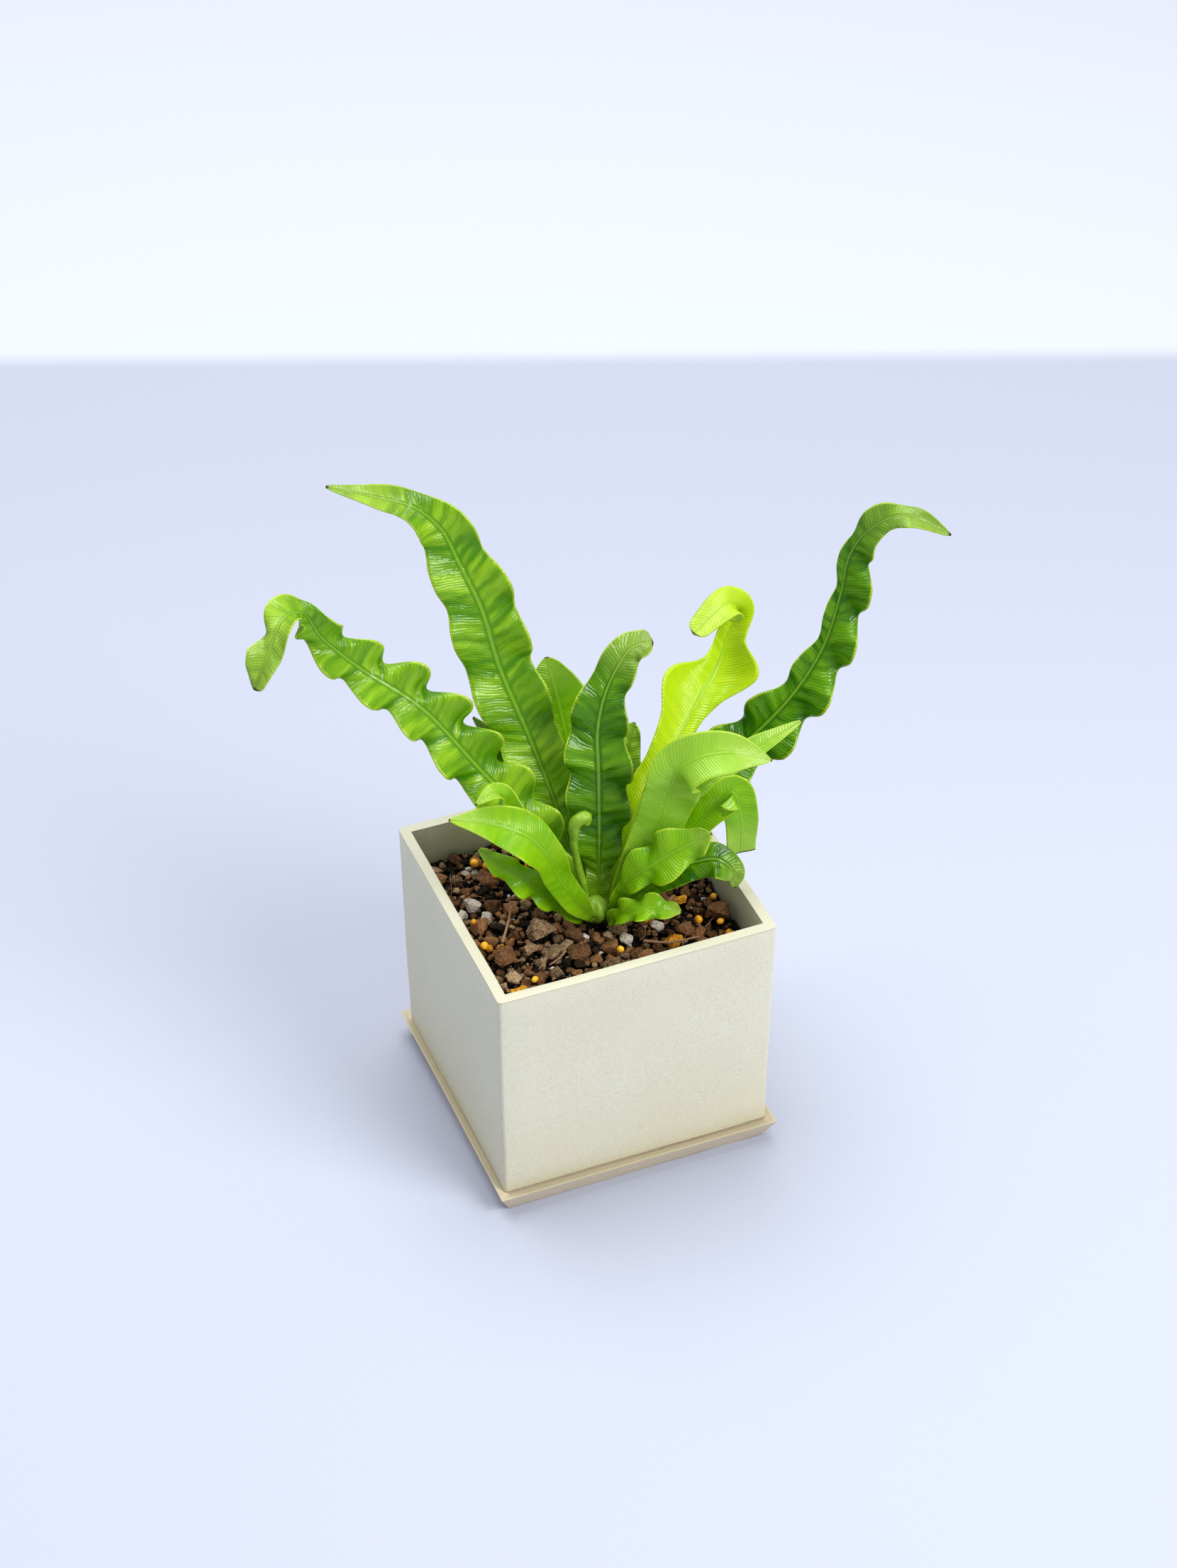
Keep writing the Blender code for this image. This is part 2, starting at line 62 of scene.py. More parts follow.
# Every frond: ripples along the blade, their depth, how far one edge leads the other, where the
# first ripple starts (radians), how deep the fine pleats are, how much the ripples scallop the
# edges, its finish, and stations from base to tip: x, y, z, half widths left and right of the
# midrib, azimuth and elevation that its upper face looks at.
FRONDS = {
    "frond_long_left": (10.5, 3.9, 1.4, 0.6, 0.25, 0.25, "green", [
        (-3, -4, 80, 1.2, 1.2, -100, 50), (-9, -2, 98, 3.4, 3.4, -100, 50),
        (-17, 1, 114, 7.0, 7.0, -100, 50), (-29, 7, 131, 8.4, 8.4, -100, 50),
        (-46, 15, 156, 8.2, 8.2, -100, 48), (-63, 21, 172, 7.0, 7.0, -100, 45),
        (-72, 23, 183, 5.6, 5.6, -105, 35), (-78, 21, 195, 4.4, 4.4, -125, 45),
        (-85, 16, 198, 4.8, 4.8, -140, 40), (-92, 10, 191, 4.6, 4.6, -145, 20),
        (-97, 8, 182, 2.8, 2.8, -145, 10)]),
    "frond_tall_back": (8.0, 1.9, 0.9, 0.0, 0.5, 0.07, "green", [
        (-1, -3, 82, 1.4, 1.4, -108, 30), (-5, 4, 105, 5.0, 5.0, -108, 30),
        (-10, 18, 130, 9.4, 9.4, -108, 30), (-16, 28, 153, 10.4, 10.4, -105, 30),
        (-20, 33, 174, 10.4, 10.4, -105, 30), (-24, 38, 186, 9.2, 9.2, -105, 32),
        (-28, 42, 197, 7.4, 7.4, -110, 40), (-35, 44, 205, 5.2, 5.2, -118, 50),
        (-46, 45, 211, 3.6, 3.6, -118, 50), (-61, 46, 218, 0.6, 0.6, -118, 50)]),
    "frond_upright_centre": (6.0, 2.1, 0.9, 0.4, 0.55, 0.1, "deep", [
        (2, -6, 82, 2.4, 2.4, -110, 20), (3, -4, 92, 4.2, 4.2, -110, 25),
        (4, -2, 108, 8.2, 8.2, -110, 25), (5, 1, 127, 9.4, 9.4, -110, 25),
        (6, 4, 140, 8.8, 8.8, -110, 25), (9, 6, 150, 7.0, 6.8, -115, 30),
        (14, 8, 158, 5.6, 5.6, -110, 45), (19, 9, 163, 4.8, 4.8, -95, 60),
        (25, 7, 165, 4.6, 4.6, -75, 60)]),
    "frond_back_broad": (2.0, 1.0, 0.6, 0.0, 0.1, 0.04, "fresh", [
        (1, 0, 82, 1.2, 1.2, -110, 20), (3, 9, 102, 4.0, 4.0, -108, 20),
        (3, 21, 123, 8.4, 8.4, -105, 25), (2, 28, 138, 9.0, 9.0, -105, 30),
        (1, 33, 148, 2.0, 2.0, -105, 35)]),
    "frond_back_right": (4.0, 1.6, 0.8, 0.0, 0.25, 0.1, "green", [
        (5, -3, 82, 1.2, 1.2, -120, 20), (14, 11, 97, 3.6, 3.6, -130, 20),
        (20, 17, 111.5, 5.4, 5.4, -135, 20), (25, 21, 124.5, 2.0, 2.0, -135, 25)]),
    "frond_lime_curl": (2.2, 4.6, 1.6, 2.6, 0.12, 0.0, "lime", [
        (5, -5, 82, 1.4, 1.4, -110, 30), (11, -2, 94, 3.4, 3.4, -115, 30),
        (19, 3, 108, 5.6, 5.4, -115, 30), (30, 8, 117, 6.6, 5.6, -115, 30),
        (38, 13, 124, 8.4, 3.6, -112, 35), (46, 18, 131, 13.0, 6.0, -112, 38),
        (54, 24, 137, 4.6, 13.0, -120, 30), (59, 28, 144, 3.6, 6.6, -132, 25),
        (63, 29, 151, 4.6, 4.6, -122, 40), (58, 26, 157, 5.2, 5.2, -110, 50),
        (44, 21, 153, 3.0, 3.0, -108, 40)]),
    "frond_long_right": (9.5, 3.4, 1.1, 0.9, 0.35, 0.22, "deep", [
        (6, -2, 80, 1.2, 1.2, -130, 30), (28, 6, 94, 4.4, 4.4, -130, 30),
        (44, 8, 107, 7.4, 7.4, -130, 30), (58, 7, 119, 8.2, 9.8, -130, 30),
        (70, 5, 133, 5.4, 9.8, -132, 28), (80, 5, 149, 3.2, 9.0, -135, 18),
        (86, 7, 166, 2.2, 8.6, -135, 10), (89, 8, 179, 2.4, 8.0, -130, 25),
        (93, 6, 187, 3.8, 4.4, -110, 45), (102, 1, 194, 3.8, 4.2, -95, 50),
        (115, -6, 188, 0.6, 0.6, -90, 50)]),
    "frond_front_broad": (1.6, 1.2, 0.7, 0.5, 0.06, 0.05, "pale", [
        (5, -9, 82, 1.4, 1.4, -100, 20), (13, -11, 100, 5.0, 5.0, -100, 20),
        (19, -14, 114, 8.2, 7.6, -100, 30), (21, -16, 126, 8.6, 8.0, -100, 35),
        (23, -18, 136, 7.6, 8.0, -112, 50), (29, -21, 141, 6.8, 7.2, -115, 50),
        (38, -24, 142, 5.4, 6.0, -115, 50), (49, -27, 138, 0.6, 0.6, -115, 50)]),
    "frond_slim_right": (2.0, 0.6, 0.4, 0.0, 0.08, 0.04, "pale", [
        (7, -5, 80, 1.2, 1.2, -110, 30), (26, -4, 103, 2.4, 2.4, -110, 40),
        (43, -5, 120, 3.4, 3.4, -110, 45), (53, -6, 126, 3.4, 3.4, -110, 45),
        (69, -5, 131, 0.6, 0.6, -110, 45)]),
    "frond_strap_right": (2.0, 1.0, 0.5, 0.0, 0.1, 0.05, "fresh", [
        (6, -7, 79, 1.2, 1.2, -110, 40), (25, -10, 97, 3.4, 3.4, -110, 50),
        (37, -13, 113, 4.6, 4.6, -100, 50), (42, -15, 119, 5.4, 5.4, -98, 25),
        (44, -17, 111, 5.4, 5.4, -95, 5), (44, -18, 97, 4.6, 4.6, -95, 0)]),
    "frond_low_right": (2.4, 1.8, 1.1, 0.5, 0.15, 0.12, "deep", [
        (6, -9, 77, 1.2, 1.2, -100, 40), (17, -13, 90, 3.6, 3.6, -95, 40),
        (27, -18, 98, 5.8, 5.8, -90, 45), (35, -22, 100, 5.6, 5.6, -80, 35),
        (39, -24, 95, 3.6, 3.6, -70, 20), (39, -25, 90, 1.2, 1.2, -70, 15)]),
    "frond_front_right": (3.2, 2.4, 1.2, 0.3, 0.16, 0.18, "fresh", [
        (5, -10, 79, 1.2, 1.2, -110, 40), (8, -14, 93, 3.0, 3.0, -110, 50),
        (14, -18, 101, 6.2, 6.0, -110, 50), (21, -21, 107, 6.6, 6.4, -110, 45),
        (27, -23, 111, 4.8, 4.8, -110, 40), (31, -25, 114, 1.4, 1.4, -110, 40)]),
    "frond_lowest_front": (3.5, 1.8, 1.2, 0.3, 0.14, 0.18, "fresh", [
        (3, -11, 77, 1.2, 1.2, -110, 40), (5, -16, 83, 2.8, 2.8, -110, 55),
        (9, -21, 88, 3.8, 3.8, -105, 55), (15, -24, 89, 3.4, 3.4, -100, 50),
        (21, -26, 87, 1.0, 1.0, -100, 50)]),
    "frond_front_left": (2.4, 1.3, 0.9, 0.6, 0.06, 0.06, "fresh", [
        (-2, -10, 79, 1.4, 1.4, -100, 25), (-8, -12, 90, 4.0, 4.0, -95, 30),
        (-14, -13, 102, 5.0, 4.6, -85, 35), (-18, -14, 113, 5.4, 5.2, -90, 42),
        (-23, -14, 121, 7.6, 7.2, -105, 55), (-32, -12, 127, 6.4, 5.6, -112, 55),
        (-47, -11, 133, 0.6, 0.6, -112, 55)]),
    "frond_low_left": (4.0, 1.8, 1.0, 0.0, 0.1, 0.18, "fresh", [
        (-4, -8, 77, 1.2, 1.2, -110, 35), (-12, -9, 87, 2.8, 2.8, -110, 35),
        (-20, -9, 97, 4.2, 4.2, -110, 35), (-28, -7, 105, 3.8, 3.8, -110, 35),
        (-36, -5, 114, 0.8, 0.8, -110, 35)]),
    "frond_small_left": (1.5, 0.9, 0.6, 0.0, 0.06, 0.05, "fresh", [
        (-4, -6, 79, 1.0, 1.0, -110, 25), (-13, -7, 98, 2.2, 2.2, -110, 25),
        (-21, -7, 115, 4.0, 4.0, -110, 25), (-26, -7, 126, 4.0, 4.0, -110, 30),
        (-28, -5.5, 131.8, 3.2, 3.2, -115, 50), (-32, -7.5, 135.8, 2.6, 2.6, -112, 65),
        (-38, -9.5, 134.8, 0.6, 0.6, -108, 65)]),
    "frond_back_sliver": (3.0, 1.0, 0.9, 0.0, 0.15, 0.1, "deep", [
        (-3, -1, 80, 1.2, 1.2, -120, 25), (-8, 12, 100, 2.6, 2.6, -120, 25),
        (-15, 20, 119, 3.2, 3.2, -120, 25), (-21, 24, 131, 2.2, 2.2, -120, 25),
        (-25, 27, 137, 0.6, 0.6, -120, 25)]),
}

BLADE_THICKNESS = 0.4
BLADE_COLUMNS = 20
ROW_SPACING = 0.8
PLEAT_LENGTH = 4.4
CUP = 0.16
TIP_LENGTH = 2.6
CUT_STRAIGHT = ["frond_strap_right"]

CROZIER_ROUTE = [(-3, -8, 84), (-4, -9, 92), (-6, -9, 102), (-7, -9, 112), (-6, -9, 118),
                 (-3, -9, 119), (-3, -9, 116)]


# ---------------------------------------------------------------- materials

class Value:
    """A number in a material. Arithmetic on it adds Math nodes."""

    def __init__(self, finish, link):
        self.finish = finish
        self.link = link

    def with_math(self, operation, *values):
        return self.finish.node("Math", {"operation": operation}, dict(enumerate(values)))

    def __add__(self, other):
        return self.with_math("ADD", self, other)

    __radd__ = __add__

    def __sub__(self, other):
        return self.with_math("SUBTRACT", self, other)

    def __rsub__(self, other):
        return self.with_math("SUBTRACT", other, self)

    def __mul__(self, other):
        return self.with_math("MULTIPLY", self, other)

    __rmul__ = __mul__

    def __abs__(self):
        return self.with_math("ABSOLUTE", self)

    def sine(self):
        return self.with_math("SINE", self)


class Finish:
    """A procedural material, built node by node."""

    def __init__(self, name):
        self.material = bpy.data.materials.new(name)
        self.material.use_nodes = True
        self.tree = self.material.node_tree
        self.tree.nodes.clear()

    def node(self, kind, settings=None, inputs=None, output=0):
        """Adds a node, sets it, fills its sockets and gives one output."""
        made = self.tree.nodes.new("ShaderNode" + kind)
        for key, setting in (settings or {}).items():
            setattr(made, key, setting)
        for key, value in (inputs or {}).items():
            if isinstance(value, Value):
                self.tree.links.new(value.link, made.inputs[key])
            else:
                made.inputs[key].default_value = value
        return Value(self, made.outputs[output]) if made.outputs else made

    def place(self):
        return self.node("TexCoord", output=3)

    def axis(self, vector, index):
        return self.node("SeparateXYZ", inputs={0: vector}, output=index)

    def noise(self, scale, detail=2.0, roughness=0.5, vector=None):
        """Noise about 1/scale metres across, from 0 to 1."""
        inputs = {"Vector": vector or self.place(), "Scale": scale, "Detail": detail,
                  "Roughness": roughness}
        return self.node("TexNoise", inputs=inputs)

    def cells(self, scale, vector):
        """The distance to the nearest of many scattered points, 1/scale metres apart."""
        return self.node("TexVoronoi", inputs={"Vector": vector, "Scale": scale})

    def step(self, value, low, high):
        """0 below low and 1 above high, with a soft rise between; low may be the larger."""
        settings = {"interpolation_type": "SMOOTHSTEP", "clamp": True}
        inputs = {"Value": value, "From Min": min(low, high), "From Max": max(low, high),
                  "To Min": 0.0 if low < high else 1.0, "To Max": 1.0 if low < high else 0.0}
        return self.node("MapRange", settings, inputs)

    def mix(self, share, first, second):
        inputs = {0: share}
        for index, colour in ((6, first), (7, second)):
            inputs[index] = colour if isinstance(colour, Value) else (*colour, 1.0)
        return self.node("Mix", {"data_type": "RGBA"}, inputs, output=2)

    def bump(self, height, depth):
        """A bump whose full height is depth metres."""
        return self.node("Bump", inputs={"Height": height, "Distance": depth, "Strength": 1.0})

    def principled(self, colour, roughness, normal, specular=0.5):
        inputs = {"Base Color": colour, "Roughness": roughness, "Normal": normal,
                  "Specular IOR Level": specular}
        return self.node("BsdfPrincipled", inputs=inputs)

    def surface(self, shader):
        self.node("OutputMaterial", inputs={"Surface": shader})
        return self.material


LEAF_LOOKS = {
    # deep tone and light tone, between which the blade is painted with painted shade and painted sheen,
    # translucent tone, roughness, strength of the pleats in relief and in painted shade
    "deep": ((0.022, 0.130, 0.001), (0.200, 0.430, 0.006), (0.22, 0.55, 0.005), 0.19, 1.0),
    "green": ((0.060, 0.225, 0.001), (0.390, 0.620, 0.030), (0.36, 0.70, 0.010), 0.19, 1.0),
    "fresh": ((0.190, 0.440, 0.003), (0.400, 0.640, 0.014), (0.48, 0.82, 0.015), 0.25, 0.5),
    "pale": ((0.300, 0.540, 0.040), (0.450, 0.680, 0.110), (0.52, 0.82, 0.08), 0.25, 0.35),
    "lime": ((0.400, 0.600, 0.001), (0.600, 0.750, 0.010), (0.74, 0.93, 0.010), 0.30, 0.6),
}
LEAF_EDGE = (0.56, 0.68, 0.05)
LEAF_RIB = (0.36, 0.58, 0.05)
LEAF_BASE = (0.24, 0.42, 0.02)
LEAF_TIP = (0.45, 0.60, 0.12)
DRY_TIP = (0.10, 0.035, 0.012)


def leaf_finish(look):
    """A glossy blade: side veins leave the midrib almost squarely, the edge is thin and pale."""
    deep, light, through, gloss, relief = LEAF_LOOKS[look]
    leaf = Finish("leaf_" + look)
    blade = leaf.node("UVMap", {"uv_map": "blade"})
    across = abs(leaf.axis(blade, 0) * 2.0 - 1.0)
    along = leaf.axis(blade, 1) * 100.0
    size = leaf.node("UVMap", {"uv_map": "size"})
    share = leaf.axis(size, 0)
    half = leaf.axis(size, 1) * 10.0
    painted_crest_light = leaf.node("Attribute", {"attribute_name": "painted_crest_light"}, output=2)
    place = leaf.place()

    drift = leaf.noise(220, 2.0, vector=place) * 1.8
    run = along - across * half * 0.5 + drift
    veins = (run * (2 * math.pi / 0.9)).sine() * 0.5 + 0.5
    folds = (run * (2 * math.pi / 4.0) + leaf.noise(120, 1.0, vector=place) * 6.0).sine() * 0.5 + 0.5
    inner = leaf.step(across, 0.05, 0.18)
    rib = leaf.step(across, 0.070, 0.03)
    edge = leaf.step(across + leaf.noise(400, 1.0, vector=place) * 0.03, 0.955, 0.995)

    sheet = {0: leaf.axis(blade, 0) * half * 0.35, 1: run * 0.9, 2: leaf.axis(place, 2) * 60.0}
    streaks = leaf.noise(0.30, 3.0, 0.50, vector=leaf.node("CombineXYZ", inputs=sheet))
    patches = leaf.step(streaks, 0.42, 0.60)
    # Painted shade and painted sheen: the pleats are painted paler on their crests and darker in their
    # valleys, and the streaky patches are painted paler as sheen.
    level = patches * inner * (0.45 * relief) + folds * inner * (1.0 - across) * (0.40 * relief)
    # Painted light: the tops of the ripples are painted paler, as if lit.
    level = level + leaf.step(painted_crest_light, 0.30, 0.85) * 0.30
    tone = leaf.mix(level, deep, light)
    tone = leaf.mix(veins * inner * 0.10, tone, light)
    specks = leaf.step(leaf.noise(1500, 2.0, vector=place), 0.60, 0.74)
    tone = leaf.mix(specks * 0.12, tone, LEAF_EDGE)
    tone = leaf.mix(rib * 0.60, tone, LEAF_RIB)
    tone = leaf.mix(leaf.step(share, 0.22, 0.03) * 0.6, tone, LEAF_BASE)
    tone = leaf.mix(leaf.step(share, 0.78, 0.95) * 0.5, tone, LEAF_TIP)
    tone = leaf.mix(edge * 0.70, tone, LEAF_EDGE)
    tip = leaf.step(share + leaf.noise(500, 1.0, vector=place) * 0.004, 0.995, 1.000)
    tone = leaf.mix(tip, tone, DRY_TIP)

    height = folds * inner * (0.40 * relief) + patches * inner * (0.35 * relief)
    height = height + veins * inner * 0.20 + rib * 0.35
    height = height + leaf.noise(900, 3.0, 0.6, vector=place) * 0.22
    normal = leaf.bump(height, 0.00030)
    rough = leaf.noise(160, 3.0, vector=place) * 0.14 + (gloss - 0.06) + tip * 0.3
    skin = leaf.principled(tone, rough, normal, 0.55)
    back = leaf.node("BsdfTranslucent", inputs={"Color": (*through, 1.0)})
    shown = leaf.node("MixShader", inputs={0: 0.32, 1: skin, 2: back})
    return leaf.surface(shown)


def glaze_finish(name, body, warm, rim_tone_and_shade, rim_height):
    """A matt speckled glaze: sandy grain, warm clouds, a darker, browner tone on the rim that is partly
    the thinner glaze and partly painted shade, a few dark specks.
    """
    glaze = Finish(name)
    place = glaze.place()
    height = glaze.axis(place, 2)
    clouds = glaze.step(glaze.noise(28, 3.0, vector=place), 0.35, 0.70)
    low = glaze.step(height, 0.045, 0.008)
    tone = glaze.mix(clouds * 0.30 + low * 0.35, body, warm)
    grain = glaze.noise(2600, 2.0, 0.7, vector=place)
    tone = glaze.mix(glaze.step(grain, 0.50, 0.68) * 0.34, tone, [0.58 * part for part in warm])
    sand = glaze.noise(1100, 2.0, 0.6, vector=place)
    tone = glaze.mix(glaze.step(sand, 0.52, 0.70) * 0.16, tone, [0.66 * part for part in warm])
    tone = glaze.mix(glaze.step(grain, 0.48, 0.30) * 0.25, tone, [1.12 * part for part in body])
    # Partly painted shade: the rim top is painted darker as well as browner.
    lip = glaze.step(height, rim_height - 0.9 * MM, rim_height - 0.2 * MM)
    tone = glaze.mix(lip * 0.75, tone, rim_tone_and_shade)
    spots = glaze.cells(170, place)
    chosen = glaze.step(glaze.noise(95, 1.0, vector=place), 0.60, 0.66)
    tone = glaze.mix(glaze.step(spots, 0.075, 0.03) * chosen * 0.65, tone, (0.16, 0.10, 0.05))
    normal = glaze.bump(grain * 0.7 + glaze.noise(420, 3.0, vector=place) * 0.6, 0.00010)
    rough = glaze.noise(300, 2.0, vector=place) * 0.14 + 0.40
    return glaze.surface(glaze.principled(tone, rough, normal))


GRIT_RELIEF = 0.0004


def grit_finish(name, dark, light, porous):
    """Rough grit, each lump in its own tone between dark and light, with dusty and pitted patches."""
    grit = Finish(name)
    place = grit.place()
    own = grit.node("Attribute", {"attribute_name": "tone"}, output=2)
    grain = grit.noise(900, 4.0, 0.7, vector=place)
    tone = grit.mix(own * 0.75 + grit.step(grain, 0.40, 0.66) * 0.35, dark, light)
    pits = grit.step(grit.cells(1500, place), 0.42, 0.16)
    tone = grit.mix(pits * porous, tone, [0.22 * part for part in dark])
    dust = grit.step(grit.noise(2600, 2.0, vector=place), 0.62, 0.72)
    tone = grit.mix(dust * 0.35, tone, [min(1.0, 1.5 * part + 0.05) for part in light])
    normal = grit.bump(grain - pits * porous, GRIT_RELIEF)
    return grit.surface(grit.principled(tone, 0.86, normal, 0.3))


def pellet_finish():
    """Round resin-coated fertiliser, amber yellow and a little glossy."""
    pellet = Finish("fertiliser_coat")
    own = pellet.node("Attribute", {"attribute_name": "tone"}, output=2)
    tone = pellet.mix(own, (0.62, 0.27, 0.01), (0.80, 0.45, 0.03))
    dirt = pellet.step(pellet.noise(700, 3.0), 0.58, 0.70)
    tone = pellet.mix(dirt * 0.4, tone, (0.14, 0.06, 0.02))
    normal = pellet.bump(pellet.noise(1800, 2.0), 0.00008)
    return pellet.surface(pellet.principled(tone, 0.34, normal))


def bark_finish():
    bark = Finish("twig_bark")
    place = bark.place()
    streak = bark.noise(1100, 4.0, 0.7, vector=place)
    tone = bark.mix(streak, (0.10, 0.05, 0.025), (0.42, 0.27, 0.16))
    return bark.surface(bark.principled(tone, 0.85, bark.bump(streak, 0.0003)))


def clump_finish():
    """Smooth green frond bases, paler on top, with a few brown scars near the mix."""
    clump = Finish("rhizome_skin")
    place = clump.place()
    height = clump.axis(place, 2)
    tone = clump.mix(clump.noise(260, 3.0, vector=place), (0.10, 0.24, 0.01), (0.30, 0.46, 0.04))
    tone = clump.mix(clump.step(height, 0.079, 0.075) * 0.6, tone, (0.16, 0.20, 0.02))
    scars = clump.step(clump.noise(420, 4.0, 0.7, vector=place), 0.60, 0.68)
    tone = clump.mix(scars * clump.step(height, 0.084, 0.076), tone, (0.12, 0.06, 0.02))
    normal = clump.bump(clump.noise(700, 3.0, vector=place), 0.0003)
    return clump.surface(clump.principled(tone, 0.38, normal))


def net_finish():
    net = Finish("screen_plastic")
    tone = net.mix(net.noise(900, 3.0), (0.02, 0.02, 0.02), (0.05, 0.05, 0.045))
    return net.surface(net.principled(tone, 0.55, net.bump(net.noise(2000, 2.0), 0.0001)))


# ---------------------------------------------------------------- modelling helpers

def add_primitive(kind, name, **settings):
    """A new primitive, alone selected and active, whose mesh will hold its place."""
    bpy.ops.object.select_all(action="DESELECT")
    getattr(bpy.ops.mesh, "primitive_" + kind + "_add")(**settings)
    piece = bpy.context.object
    piece.name = name
    piece.data.name = name
    return piece


def settle(piece):
    """Puts the object at the origin, unturned and unscaled, with its place in its mesh."""
    bpy.ops.object.select_all(action="DESELECT")
    piece.select_set(True)
    bpy.context.view_layer.objects.active = piece
    bpy.ops.object.transform_apply(location=True, rotation=True, scale=True)


def apply_modifier(piece, kind, **settings):
    made = piece.modifiers.new(kind.title(), kind)
    for key, value in settings.items():
        setattr(made, key, value)
    bpy.context.view_layer.objects.active = piece
    bpy.ops.object.modifier_apply(modifier=made.name)


def edit(piece, faces, *steps):
    """Selects faces by a test on them, then runs edit-mode operators, each with its settings."""
    bpy.context.view_layer.objects.active = piece
    bpy.ops.object.mode_set(mode="EDIT")
    bpy.ops.mesh.select_mode(type="FACE")
    bpy.ops.mesh.select_all(action="DESELECT")
    bpy.ops.object.mode_set(mode="OBJECT")
    for face in piece.data.polygons:
        face.select = faces(face)
    bpy.ops.object.mode_set(mode="EDIT")
    for operator, settings in steps:
        operator(**settings)
    bpy.ops.object.mode_set(mode="OBJECT")


def smooth_below(piece, angle):
    bpy.ops.object.select_all(action="DESELECT")
    piece.select_set(True)
    bpy.context.view_layer.objects.active = piece
    bpy.ops.object.shade_smooth_by_angle(angle=math.radians(angle))


def finish_piece(piece, node, material):
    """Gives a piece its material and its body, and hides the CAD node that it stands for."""
    piece.data.materials.clear()
    piece.data.materials.append(material)
    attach(piece, "root")
    if node:
        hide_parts(node)


def points_of(mesh):
    flat = np.empty(len(mesh.vertices) * 3, dtype=np.float32)
    mesh.vertices.foreach_get("co", flat)
    return flat.reshape(-1, 3).astype(float)


def set_points(mesh, points):
    mesh.vertices.foreach_set("co", np.ascontiguousarray(points, dtype=np.float32).ravel())
    mesh.update()


def unit_rows(rows):
    return rows / np.linalg.norm(rows, axis=1, keepdims=True)


def smooth_rows(stations, count):
    """Rows read evenly along a smooth curve through the stations, whose first three are x, y, z."""
    knots = np.array(stations, dtype=float)
    steps = np.linalg.norm(np.diff(knots[:, :3], axis=0), axis=1)
    where = np.concatenate([[0.0], np.cumsum(steps)])
    slope = np.gradient(knots, where, axis=0)
    read = np.linspace(0.0, where[-1], count)
    span = np.clip(np.searchsorted(where, read, side="right") - 1, 0, len(where) - 2)
    length = (where[span + 1] - where[span])[:, None]
    u = (read - where[span])[:, None] / length
    start = (2 * u**3 - 3 * u**2 + 1) * knots[span] + (u**3 - 2 * u**2 + u) * length * slope[span]
    end = (3 * u**2 - 2 * u**3) * knots[span + 1] + (u**3 - u**2) * length * slope[span + 1]
    return read, start + end


# ---------------------------------------------------------------- fronds

